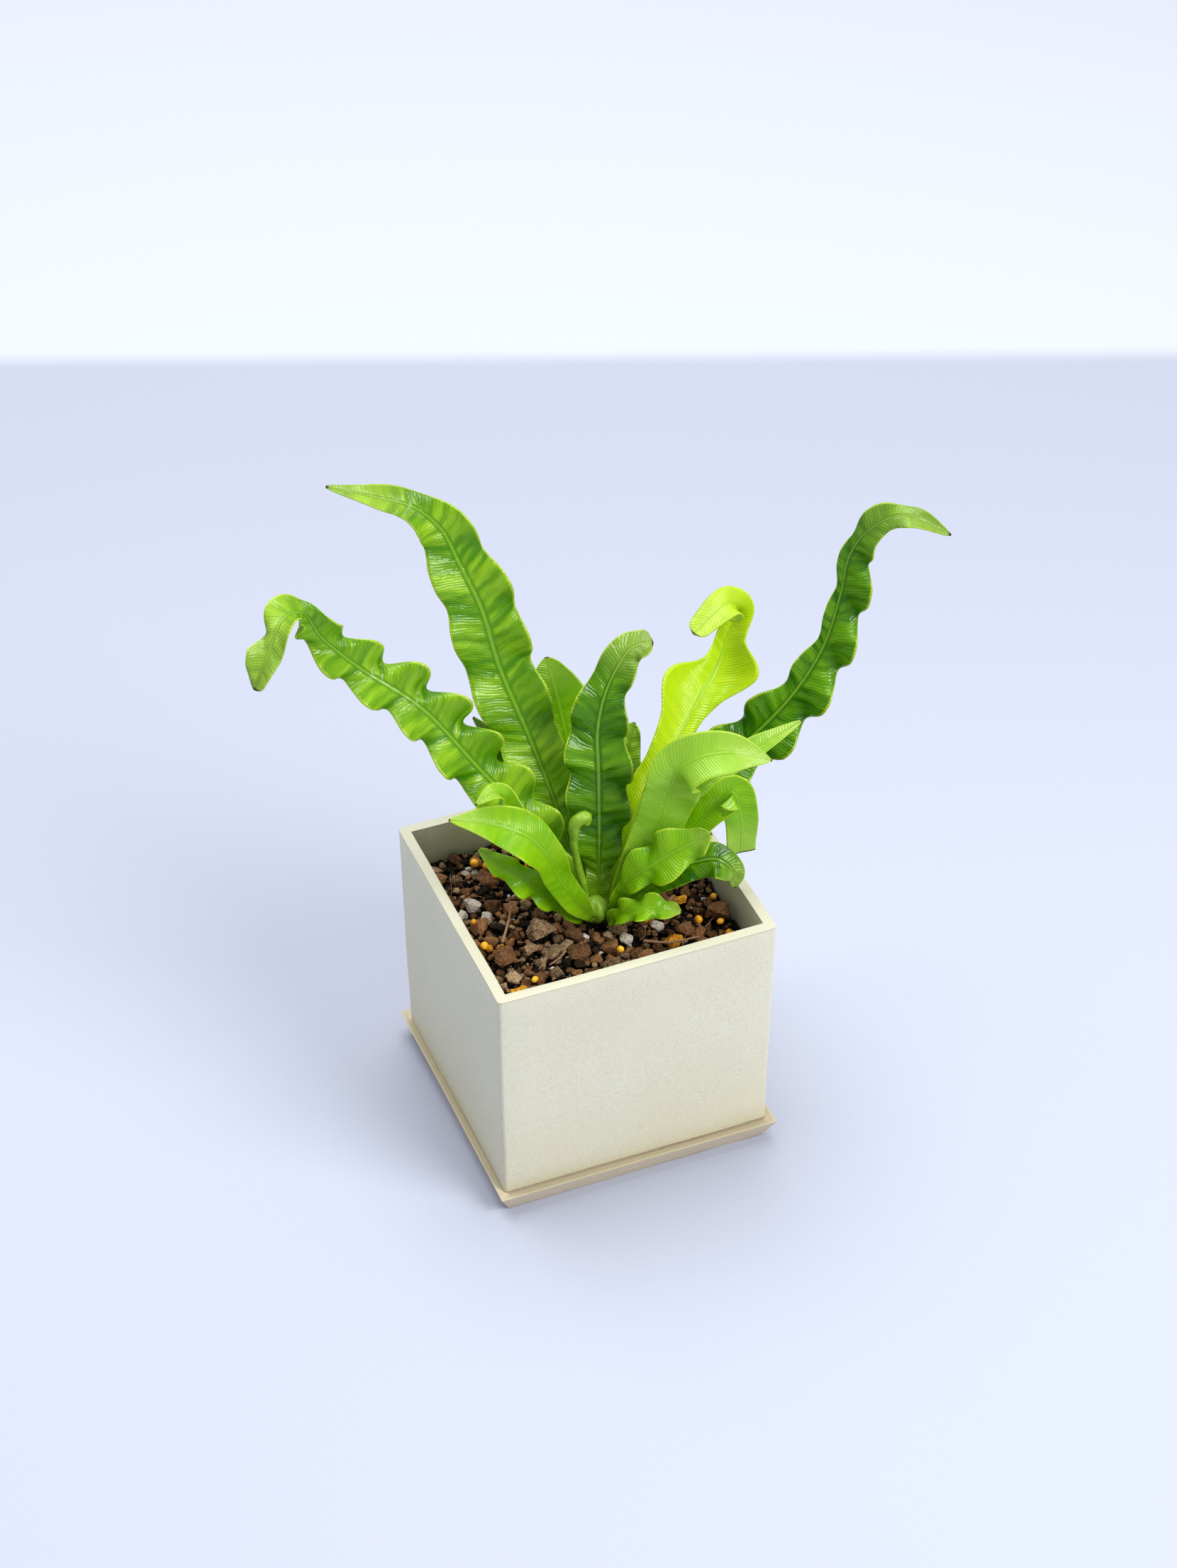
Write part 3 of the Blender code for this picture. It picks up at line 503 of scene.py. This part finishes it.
def make_frond(name, look_materials):
    """A grid laid along the midrib as a rippled, pleated strap, then thickened."""
    ripples, depth, lead, start, pleats, scallop, look, path = FRONDS[name]
    knots = []
    for x, y, z, left, right, azimuth, elevation in path:
        turn = math.radians(azimuth)
        rise = math.radians(elevation)
        up = (math.cos(turn) * math.cos(rise), math.sin(turn) * math.cos(rise), math.sin(rise))
        knots.append((x, y, z, left, right, *up))
    length = sum(math.dist(a[:3], b[:3]) for a, b in zip(path, path[1:]))
    rows = round(length / ROW_SPACING)
    read, line = smooth_rows(knots, rows + 1)
    midrib = line[:, :3]
    along = unit_rows(np.gradient(midrib, axis=0))
    face = line[:, 5:8]
    face = unit_rows(face - np.sum(face * along, axis=1, keepdims=True) * along)
    side = np.cross(along, face)
    share = read / read[-1]
    left_to_go = np.clip((read[-1] - read) / TIP_LENGTH, 0.0, 1.0)
    rounding = np.ones_like(read) if name in CUT_STRAIGHT else np.sqrt(1 - (1 - left_to_go) ** 2)
    halves = np.maximum(line[:, 3:5] * rounding[:, None], 0.3)

    piece = add_primitive("grid", name + "_blade", x_subdivisions=BLADE_COLUMNS,
                          y_subdivisions=rows, size=2)
    flat = points_of(piece.data)
    across = flat[:, 0]
    row = np.rint((flat[:, 1] + 1) / 2 * rows).astype(int)
    reach = np.abs(across)
    half = np.where(across < 0, halves[row, 0], halves[row, 1])
    chance = random.Random(name)
    shift = [chance.uniform(0, 2 * math.pi) for _ in range(4)]
    swing = 2 * np.pi * ripples * share[row] + start + lead * across
    swing = swing + 0.45 * np.sin(2 * np.pi * 1.7 * share[row] + shift[0] + 1.3 * across)
    wave = 1 - 2 * (0.5 - 0.5 * np.sin(swing)) ** 1.5
    strength = 1 + 0.25 * np.sin(2 * np.pi * 2.1 * share[row] + shift[1] + 2 * across)
    size = half / halves.max() * strength
    scallop = scallop * np.clip((1 - share[row]) / 0.12, 0.0, 1.0)
    ruffle = depth * wave * reach ** 1.6 * size
    pleat = np.sin(2 * np.pi * (read[row] - 0.6 * reach * half) / PLEAT_LENGTH
                   + 1.4 * np.sin(read[row] / 7 + shift[2] + across))
    patchy = 0.55 + 0.45 * np.sin(2 * np.pi * read[row] / 13 + shift[3] + 2.5 * across)
    pleat = pleats * patchy * pleat * np.minimum(1.0, reach * 5) * (1 - 0.4 * reach) * size
    lift = ruffle + pleat + CUP * half * reach ** 1.5 + 0.12 * np.exp(-(reach / 0.07) ** 2)
    width = half * (1 + scallop * wave * reach)
    points = midrib[row] + side[row] * (across * width)[:, None] + face[row] * lift[:, None]
    set_points(piece.data, points * MM)

    blade = piece.data.uv_layers[0]
    blade.name = "blade"
    corner = np.empty(len(piece.data.loops), dtype=np.int32)
    piece.data.loops.foreach_get("vertex_index", corner)
    blade.data.foreach_set("uv", np.column_stack(
        [(across[corner] + 1) / 2, read[row][corner] / 100]).astype(np.float32).ravel())
    # How high each point rides on its ripple, kept for the painted light on the ripple crests.
    painted_crest_light = piece.data.attributes.new("painted_crest_light", "FLOAT", "POINT")
    painted_crest_light.data.foreach_set("value", (0.5 + 0.5 * wave * reach).astype(np.float32))
    size_map = piece.data.uv_layers.new(name="size")
    size_map.data.foreach_set("uv", np.column_stack(
        [share[row][corner], half[corner] / 10]).astype(np.float32).ravel())

    apply_modifier(piece, "SOLIDIFY", thickness=BLADE_THICKNESS * MM, offset=0.0)
    settle(piece)
    piece.data.shade_smooth()
    finish_piece(piece, name, look_materials[look])


def make_crozier(materials):
    """The young frond that is still rolled: a tapering stalk with its head turned over."""
    _, points = smooth_rows(CROZIER_ROUTE, 48)
    curve = bpy.data.curves.new("crozier_line", "CURVE")
    curve.dimensions = "3D"
    curve.bevel_depth = MM
    curve.bevel_resolution = 5
    curve.use_fill_caps = True
    spline = curve.splines.new("POLY")
    spline.points.add(len(points) - 1)
    for index, point in enumerate(points):
        share = index / (len(points) - 1)
        spline.points[index].co = (*(point * MM), 1.0)
        spline.points[index].radius = 1.3 + 0.9 * math.exp(-((share - 0.86) / 0.12) ** 2) - 0.2 * share
    holder = bpy.data.objects.new("crozier_line", curve)
    bpy.context.scene.collection.objects.link(holder)
    mesh = bpy.data.meshes.new_from_object(holder.evaluated_get(bpy.context.evaluated_depsgraph_get()))
    bpy.data.objects.remove(holder)
    piece = bpy.data.objects.new("frond_crozier_stalk", mesh)
    bpy.context.scene.collection.objects.link(piece)
    apply_modifier(piece, "WELD", merge_threshold=0.00001)
    piece.data.shade_smooth()
    finish_piece(piece, "frond_crozier", materials["clump"])


# ---------------------------------------------------------------- pot and saucer

POT_FOOT_HEIGHT = 0.5
POT_FOOT_INSET = 4
POT_WALL = 3.3
POT_FLOOR = 5
POT_TAPER = 0.977
POT_CORNER = 1.4
POT_EDGE = 0.9
POT_UNEVEN = 0.45

SAUCER_TAPER = 86 / 93
SAUCER_LIP = 0.6
SAUCER_SLOPE = 3.2
SAUCER_DEPTH = 1.2
SAUCER_EDGE = 0.55
SAUCER_UNEVEN = 0.25


def make_pot(materials):
    """A square pot with a soft edge, its walls a little uneven as hand-made ones are."""
    low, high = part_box("pot")
    foot_height = POT_FOOT_HEIGHT * MM
    base = low.z + foot_height
    size = (high.x - low.x, high.y - low.y, high.z - base)
    piece = add_primitive("cube", "pot_body", size=1, location=(0, 0, base + size[2] / 2))
    piece.scale = size
    settle(piece)
    depth = high.z - base - POT_FLOOR * MM
    edit(piece, lambda f: f.normal.z < -0.9,
         (bpy.ops.transform.resize, {"value": (POT_TAPER, POT_TAPER, 1)}))
    edit(piece, lambda f: f.normal.z > 0.9,
         (bpy.ops.mesh.inset, {"thickness": POT_WALL * MM}),
         (bpy.ops.mesh.extrude_region_move, {"TRANSFORM_OT_translate": {"value": (0, 0, -depth)}}),
         (bpy.ops.transform.resize, {"value": (POT_TAPER, POT_TAPER, 1)}))
    edit(piece, lambda f: f.normal.z < -0.9,
         (bpy.ops.mesh.inset, {"thickness": POT_FOOT_INSET * MM}),
         (bpy.ops.mesh.extrude_region_move, {"TRANSFORM_OT_translate": {"value": (0, 0, -foot_height)}}))
    bpy.ops.object.mode_set(mode="EDIT")
    bpy.ops.mesh.select_mode(type="EDGE")
    bpy.ops.mesh.select_all(action="DESELECT")
    bpy.ops.object.mode_set(mode="OBJECT")
    for edge in piece.data.edges:
        first, second = [piece.data.vertices[index].co for index in edge.vertices]
        edge.select = abs(first.z - second.z) > 0.5 * size[2] and abs(first.x) > 0.475 * size[0]
    bpy.ops.object.mode_set(mode="EDIT")
    bpy.ops.mesh.bevel(offset=POT_CORNER * MM, segments=4, affect="EDGES")
    bpy.ops.object.mode_set(mode="OBJECT")
    edit(piece, lambda f: True, (bpy.ops.mesh.subdivide, {"number_cuts": 9}))
    apply_modifier(piece, "BEVEL", width=POT_EDGE * MM, segments=4, limit_method="ANGLE",
                   angle_limit=math.radians(40))
    points = points_of(piece.data)
    for index, point in enumerate(points):
        slow = noise.noise_vector(Vector(point) * 24)
        fine = noise.noise_vector(Vector(point) * 110 + Vector((7, 3, 1)))
        points[index] += np.array(slow) * POT_UNEVEN * MM + np.array(fine) * 0.10 * MM
    set_points(piece.data, np.maximum(points, [-1, -1, low.z]))
    smooth_below(piece, 50)
    finish_piece(piece, "pot", materials["pot"])


def make_saucer(materials):
    """A square dish with sloping sides, a rounded lip and a level floor."""
    low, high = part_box("saucer")
    size = high - low
    piece = add_primitive("cube", "saucer_body", size=1, location=(low + high) / 2)
    piece.scale = size
    settle(piece)
    edit(piece, lambda f: f.normal.z < -0.9,
         (bpy.ops.transform.resize, {"value": (SAUCER_TAPER, SAUCER_TAPER, 1)}))
    edit(piece, lambda f: f.normal.z > 0.9,
         (bpy.ops.mesh.inset, {"thickness": SAUCER_LIP * MM}),
         (bpy.ops.mesh.inset, {"thickness": SAUCER_SLOPE * MM}),
         (bpy.ops.transform.translate, {"value": (0, 0, -SAUCER_DEPTH * MM)}))
    edit(piece, lambda f: True, (bpy.ops.mesh.subdivide, {"number_cuts": 7}))
    apply_modifier(piece, "BEVEL", width=SAUCER_EDGE * MM, segments=4, limit_method="ANGLE",
                   angle_limit=math.radians(20))
    points = points_of(piece.data)
    for index, point in enumerate(points):
        slow = noise.noise_vector(Vector(point) * 26 + Vector((0, 5, 2)))
        points[index] += np.array(slow) * SAUCER_UNEVEN * MM
    set_points(piece.data, np.maximum(points, [-1, -1, low.z]))
    smooth_below(piece, 50)
    finish_piece(piece, "saucer", materials["saucer"])


# ---------------------------------------------------------------- mix, stones and twigs

# The level of the mix, half its width and depth at the top, how much narrower its foot is, and
# the diameters from which a grain counts as one of the small grains, the lumps or the big lumps.
SOIL_LEVEL = 73.0
MIX_HALF = (40.8, 39.4)
MIX_TAPER = 0.975
GRAIN_SIZE = 2.0
LUMP_SIZE = 3.4
BIG_LUMP_SIZE = 5.6
CLUMP_SPOT = (1.0, -6.0)


def soil_height(x, y):
    """The lumpy top of the mix, in millimetres."""
    return SOIL_LEVEL + 1.2 * noise.noise(Vector((x * 0.16, y * 0.16, 3.7)))


def make_mix(materials):
    """The dark humus between the grains."""
    low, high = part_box("potting_mix")
    middle = (low + high) / 2
    piece = add_primitive("grid", "mix_bed", x_subdivisions=120, y_subdivisions=120, size=1,
                          location=(middle.x, middle.y, 0))
    piece.scale = (high.x - low.x, high.y - low.y, 1)
    settle(piece)
    edit(piece, lambda f: True,
         (bpy.ops.mesh.extrude_region_move, {"TRANSFORM_OT_translate": {"value": (0, 0, -1)}}))
    points = points_of(piece.data)
    for index, (x, y, z) in enumerate(points):
        if z < -0.5:
            points[index] = (x * MIX_TAPER, y * MIX_TAPER, low.z)
            continue
        crumb = noise.fractal(Vector((x, y, 0)) * 420, 1.0, 2.0, 4)
        points[index][2] = (soil_height(x / MM, y / MM) - 0.6 + 1.5 * crumb) * MM
    set_points(piece.data, points)
    bpy.context.view_layer.objects.active = piece
    edit(piece, lambda f: True, (bpy.ops.mesh.normals_make_consistent, {"inside": False}))
    piece.data.shade_smooth()
    finish_piece(piece, "potting_mix", materials["humus"])


def grit_shape(name, subdivisions, roughness, chance, facets=0):
    """One irregular lump about 1 across, as a mesh to copy; each facet planes one side off."""
    piece = add_primitive("ico_sphere", name, subdivisions=subdivisions, radius=0.5)
    shift = Vector((chance.uniform(0, 50), chance.uniform(0, 50), chance.uniform(0, 50)))
    points = points_of(piece.data)
    for _ in range(facets):
        side = np.array([chance.gauss(0, 1) for _ in range(3)])
        side /= np.linalg.norm(side)
        over = np.maximum(0, points @ side - chance.uniform(0.24, 0.40))
        points -= over[:, None] * side
    for index, point in enumerate(points):
        spot = Vector(point)
        rough = noise.noise(spot * 2.4 + shift) + 0.5 * noise.noise(spot * 7 + shift)
        grow = 1 + roughness * rough
        points[index] = np.array(spot * grow)
    set_points(piece.data, points)
    mesh = piece.data
    bpy.data.objects.remove(piece)
    return mesh


def scattered(name, shapes, places, material):
    """Many lumps joined in one mesh, each with its own tone. A place is x, y, z, size, tone, squash."""
    bm = bmesh.new()
    tones = bm.verts.layers.float.new("tone")
    chance = random.Random(name)
    for x, y, z, across, tone, squash in places:
        shape = chance.choice(shapes)
        known = len(bm.verts)
        bm.from_mesh(shape)
        bm.verts.ensure_lookup_table()
        turn = Matrix.Rotation(chance.uniform(0, 6.28), 4, "Z")
        turn = turn @ Matrix.Rotation(chance.uniform(-0.5, 0.5), 4, "X")
        size = Matrix.Diagonal((across * chance.uniform(0.85, 1.25), across, across * squash, 1))
        move = Matrix.Scale(MM, 4) @ Matrix.Translation((x, y, z)) @ turn @ size
        for vertex in bm.verts[known:]:
            vertex.co = move @ vertex.co
            vertex[tones] = tone
    mesh = bpy.data.meshes.new(name)
    bm.to_mesh(mesh)
    bm.free()
    piece = bpy.data.objects.new(name, mesh)
    bpy.context.scene.collection.objects.link(piece)
    piece.data.shade_smooth()
    finish_piece(piece, None, material)


STONES = [
    # CAD node, slot, finish, pitted roughness
    ("pumice_stone_large", "pumice", "tuff", 0.22),
    ("pumice_stone_pale", "pumice", "pumice", 0.16),
    ("pumice_stone_grey", "pumice", "tuff", 0.26),
    ("pumice_stone_white", "pumice", "pumice", 0.18),
    ("akadama_lump_front", "akadama", "akadama", 0.14),
    ("akadama_lump_left", "akadama", "akadama", 0.16),
    ("akadama_lump_right", "akadama", "akadama", 0.14),
    ("akadama_lump_middle", "akadama", "akadama", 0.18),
    ("ochre_lump_front", "ochre_grit", "ochre", 0.24),
    ("ochre_lump_corner", "ochre_grit", "ochre", 0.18),
]


def make_stones(materials):
    """The larger stones, finely shaped inside the boxes of their CAD nodes."""
    for name, slot, finish, roughness in STONES:
        chance = random.Random(name)
        low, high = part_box(name)
        mesh = grit_shape(name + "_stone", 5, roughness, chance, 9)
        points = points_of(mesh)
        fine = [1 + 0.05 * noise.fractal(Vector(p) * 9, 1.0, 2.0, 3) for p in points]
        points *= np.array(fine)[:, None]
        span = points.max(axis=0) - points.min(axis=0)
        size = np.array(high - low)
        points = (points - points.min(axis=0)) / span * size + np.array(low)
        set_points(mesh, points)
        tone = mesh.attributes.new("tone", "FLOAT", "POINT")
        tone.data.foreach_set("value", [chance.uniform(0.3, 0.8)] * len(mesh.vertices))
        piece = bpy.data.objects.new(name + "_stone", mesh)
        bpy.context.scene.collection.objects.link(piece)
        piece.data.shade_smooth()
        finish_piece(piece, name, materials[finish])


def spots_on_mix(chance, wanted, smallest, largest, taken, spacing):
    """Random places on the mix, clear of what is already there, as x, y and diameter."""
    found = []
    tries = 0
    while len(found) < wanted and tries < wanted * 25:
        tries += 1
        across = chance.uniform(smallest, largest)
        x = chance.uniform(-MIX_HALF[0] + across / 2, MIX_HALF[0] - across / 2)
        y = chance.uniform(-MIX_HALF[1] + across / 2, MIX_HALF[1] - across / 2)
        clear = all((x - a) ** 2 + (y - b) ** 2 > (spacing * (across + c) / 2) ** 2 for a, b, c in taken)
        if clear:
            found.append((x, y, across))
            taken.append((x, y, across))
    return found


def make_grit(materials):
    """The loose top of the mix: lumps, grains and crumbs, from large to small."""
    chance = random.Random(41)
    lumps = [grit_shape("lump_%d" % i, 3, 0.40, chance, 8) for i in range(8)]
    grains = [grit_shape("grain_%d" % i, 2, 0.50, chance, 6) for i in range(8)]
    crumbs = [grit_shape("crumb_%d" % i, 1, 0.60, chance, 3) for i in range(6)]
    taken = []
    for name, *_ in STONES:
        low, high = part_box(name)
        taken.append(((low.x + high.x) / 2 / MM, (low.y + high.y) / 2 / MM, (high.x - low.x) / MM))
    taken.append((*CLUMP_SPOT, 9.0))
    kinds = {"akadama": [], "tuff": [], "pumice": [], "ochre": [], "humus": []}
    # How many, smallest and largest diameter, spacing, and how far one may stand above the mix.
    layers = [(34, 5.4, 7.8, 0.95, 0.30), (130, 3.4, 5.4, 0.86, 0.50), (420, 1.8, 3.4, 0.74, 0.70),
              (900, 0.9, 2.0, 0.5, 0.9)]
    for wanted, smallest, largest, spacing, rise in layers:
        for x, y, across in spots_on_mix(chance, wanted, smallest, largest, taken, spacing):
            draw = chance.random()
            if across > BIG_LUMP_SIZE:
                kind = "akadama" if draw < 0.80 else "tuff"
            elif across > GRAIN_SIZE:
                kind = ("akadama" if draw < 0.52 else "tuff" if draw < 0.78 else "pumice" if draw < 0.83
                        else "humus" if draw < 0.965 else "ochre")
            else:
                kind = ("humus" if draw < 0.55 else "akadama" if draw < 0.84 else "tuff" if draw < 0.95
                        else "pumice")
            z = soil_height(x, y) + across * 0.22 + chance.uniform(-0.2, 1.0) * rise
            kinds[kind].append((x, y, z, across, chance.random(), chance.uniform(0.62, 0.95)))
    for kind, slot in (("akadama", "akadama"), ("tuff", "pumice"), ("pumice", "pumice"),
                       ("ochre", "ochre_grit"), ("humus", "potting_mix")):
        large = [place for place in kinds[kind] if place[3] > LUMP_SIZE]
        medium = [place for place in kinds[kind] if GRAIN_SIZE < place[3] <= LUMP_SIZE]
        small = [place for place in kinds[kind] if place[3] <= GRAIN_SIZE]
        for suffix, shapes, places in (("lumps", lumps, large), ("grains", grains, medium),
                                       ("crumbs", crumbs, small)):
            if places:
                scattered(kind + "_" + suffix, shapes, places, materials[kind])


# Round yellow fertiliser lying on the mix: x, y and diameter.
PELLETS = [(-25, 30, 2.9), (-22, 27, 2.8), (-21, 22, 1.8), (-19, 20, 1.6), (16, -12, 2.6),
           (14, -15, 2.8), (29, -21, 2.8), (35, -24, 2.0), (2, -24, 2.4), (-36, -8, 2.4),
           (38, -12, 2.2), (-27, -27, 2.0), (-35, 4, 1.8), (8, 28, 2.6), (24, 22, 2.4)]


def make_pellets(materials):
    chance = random.Random(7)
    shapes = [grit_shape("pellet_%d" % i, 3, 0.10, chance) for i in range(3)]
    places = [(x, y, soil_height(x, y) + 3.2 + across * 0.3, across, chance.random(), 0.95)
              for x, y, across in PELLETS]
    scattered("fertiliser_pellets", shapes, places, materials["pellet"])


ROD_TAPER = 0.6


def tube(name, points, radius):
    """A rough round rod along points in millimetres, as a mesh object."""
    chance = random.Random(name)
    _, line = smooth_rows(points, max(10, round(sum(map(math.dist, points, points[1:])) / 0.8)))
    curve = bpy.data.curves.new(name, "CURVE")
    curve.dimensions = "3D"
    curve.bevel_depth = MM
    curve.bevel_resolution = 3
    curve.use_fill_caps = True
    spline = curve.splines.new("POLY")
    spline.points.add(len(line) - 1)
    for index, point in enumerate(line):
        share = index / (len(line) - 1)
        spline.points[index].co = (*(point * MM), 1.0)
        spline.points[index].radius = radius * (1 - (1 - ROD_TAPER) * share) * chance.uniform(0.82, 1.15)
    holder = bpy.data.objects.new(name + "_line", curve)
    bpy.context.scene.collection.objects.link(holder)
    mesh = bpy.data.meshes.new_from_object(holder.evaluated_get(bpy.context.evaluated_depsgraph_get()))
    bpy.data.objects.remove(holder)
    piece = bpy.data.objects.new(name, mesh)
    bpy.context.scene.collection.objects.link(piece)
    apply_modifier(piece, "WELD", merge_threshold=0.00001)
    piece.data.shade_smooth()
    return piece


TWIGS = {
    "twig_front": ([(9, -25, 78.6), (15, -29, 79.2), (25, -31, 79.8)], 0.5),
    "twig_left": ([(-31, -10, 79.0), (-27, -4, 79.6), (-23, 3, 80.4)], 0.5),
    "twig_right": ([(13, -20, 80.2), (18, -17, 81.2), (24, -13, 82.0)], 0.6),
}


def make_twigs(materials):
    for name, (route, radius) in TWIGS.items():
        piece = tube(name + "_rod", route, radius)
        finish_piece(piece, name, materials["bark"])


def make_debris(materials):
    """Fine roots and bits of twig lying loose on the mix."""
    chance = random.Random(23)
    pieces = []
    for index in range(64):
        x = chance.uniform(-38, 38)
        y = chance.uniform(-37, 37)
        turn = chance.uniform(0, 2 * math.pi)
        length = chance.uniform(4, 13)
        route = []
        for step in range(4):
            reach = length * (step / 3 - 0.5)
            a = min(40, max(-40, x + reach * math.cos(turn) + chance.uniform(-0.9, 0.9)))
            b = min(38.6, max(-38.6, y + reach * math.sin(turn) + chance.uniform(-0.9, 0.9)))
            route.append((a, b, soil_height(a, b) + chance.uniform(1.4, 3.6)))
        thick = chance.random() < 0.25
        radius = chance.uniform(0.25, 0.42) if thick else 0.11
        pieces.append(tube("debris_%d" % index, route, radius))
    bpy.ops.object.select_all(action="DESELECT")
    for piece in pieces:
        piece.select_set(True)
    bpy.context.view_layer.objects.active = pieces[0]
    bpy.ops.object.join()
    pieces[0].name = "root_debris"
    finish_piece(pieces[0], None, materials["bark"])


def make_clump(materials):
    """The short rhizome with the green bases of the fronds packed round it."""
    low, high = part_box("rhizome")
    middle = (low + high) / 2
    piece = add_primitive("uv_sphere", "rhizome_clump", segments=48, ring_count=32, radius=1,
                          location=middle)
    piece.scale = (high - low) / 2
    settle(piece)
    points = points_of(piece.data)
    for index, point in enumerate(points):
        offset = point - np.array(middle)
        turn = math.atan2(offset[1], offset[0])
        ridge = 1 + 0.07 * math.sin(turn * 7) + 0.05 * noise.noise(Vector(point) * 300)
        points[index] = np.array(middle) + offset * [ridge, ridge, 1]
    set_points(piece.data, points)
    piece.data.shade_smooth()
    finish_piece(piece, "rhizome", materials["clump"])


# ---------------------------------------------------------------- stage

def make_camera():
    data = bpy.data.cameras.new("camera")
    data.lens = CAMERA_LENS
    camera = bpy.data.objects.new("camera", data)
    bpy.context.scene.collection.objects.link(camera)
    camera.location = CAMERA_PLACE
    aim = (Vector(CAMERA_TARGET) - Vector(CAMERA_PLACE)).to_track_quat("-Z", "Y")
    roll = Matrix.Rotation(math.radians(-CAMERA_ROLL), 3, "Z")
    camera.rotation_euler = (aim.to_matrix() @ roll).to_euler()
    bpy.context.scene.camera = camera


def floor_finish():
    """A plain pale floor that turns brighter far behind the pot."""
    floor = Finish("stage_floor")
    place = floor.place()
    depth = floor.axis(place, 1) * 0.93 + floor.axis(place, 0) * 0.37
    far = floor.step(depth, 0.425, 0.44)
    cloud = floor.noise(3, 2.0, vector=place) * 0.2
    tone = floor.mix(cloud, (0.410, 0.440, 0.545), (0.428, 0.458, 0.562))
    # Painted shade: the floor is painted darker from the front towards the back, where less light
    # reaches.
    tone = floor.mix(floor.step(depth, 0.0, 0.42) * 0.5, tone, (0.330, 0.355, 0.445))
    tone = floor.mix(far, tone, (0.50, 0.53, 0.60))
    normal = floor.bump(floor.noise(900, 2.0, vector=place), 0.00005)
    return floor.surface(floor.principled(tone, 0.7, normal))


def area_light(name, place, target, size, power, colour):
    data = bpy.data.lights.new(name, "AREA")
    data.shape = "DISK"
    data.size = size
    data.energy = power
    data.color = colour
    light = bpy.data.objects.new(name, data)
    bpy.context.scene.collection.objects.link(light)
    light.location = place
    light.rotation_euler = (Vector(target) - Vector(place)).to_track_quat("-Z", "Y").to_euler()


def make_stage():
    floor = add_primitive("plane", "stage_floor", size=12)
    floor.data.materials.append(floor_finish())
    world = bpy.data.worlds.new("soft_room")
    bpy.context.scene.world = world
    world.use_nodes = True
    sky = world.node_tree.nodes["Background"]
    sky.inputs["Color"].default_value = (1.0, 0.99, 0.97, 1.0)
    sky.inputs["Strength"].default_value = 0.50
    area_light("key", (0.8, -1.2, 1.25), (0, 0, 0.08), 1.1, 26, (1.0, 0.985, 0.95))
    area_light("top", (-0.1, 0.5, 1.5), (0, 0, 0.1), 1.6, 22, (1.0, 1.0, 1.0))
    bpy.context.scene.view_settings.view_transform = "Standard"
    bpy.context.scene.view_settings.look = "Medium High Contrast"


def main():
    make_camera()
    make_stage()
    leaves = {look: leaf_finish(look) for look in LEAF_LOOKS}
    materials = {
        "pot": glaze_finish("pot_glaze", (0.620, 0.620, 0.520), (0.610, 0.570, 0.410),
                            (0.500, 0.485, 0.385), 0.087),
        # On the saucer the darker rim tone is painted shade on the lip and the slope round the pot.
        "saucer": glaze_finish("saucer_glaze", (0.60, 0.53, 0.42), (0.55, 0.47, 0.33),
                               (0.47, 0.43, 0.31), 0.0076),
        "humus": grit_finish("humus", (0.004, 0.002, 0.001), (0.030, 0.016, 0.008), 0.3),
        "akadama": grit_finish("akadama", (0.036, 0.016, 0.007), (0.310, 0.155, 0.068), 0.45),
        "tuff": grit_finish("tuff", (0.100, 0.060, 0.030), (0.420, 0.295, 0.180), 0.6),
        "pumice": grit_finish("pumice", (0.340, 0.290, 0.240), (0.680, 0.620, 0.570), 0.45),
        "ochre": grit_finish("ochre", (0.360, 0.130, 0.008), (0.760, 0.400, 0.035), 0.6),
        "pellet": pellet_finish(),
        "bark": bark_finish(),
        "clump": clump_finish(),
        "net": net_finish(),
    }
    make_pot(materials)
    make_saucer(materials)
    make_mix(materials)
    make_stones(materials)
    make_grit(materials)
    make_pellets(materials)
    make_twigs(materials)
    make_debris(materials)
    make_clump(materials)
    for name in FRONDS:
        make_frond(name, leaves)
    make_crozier(materials)
    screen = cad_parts["drain_screen"]
    screen.data.materials.clear()
    screen.data.materials.append(materials["net"])


main()
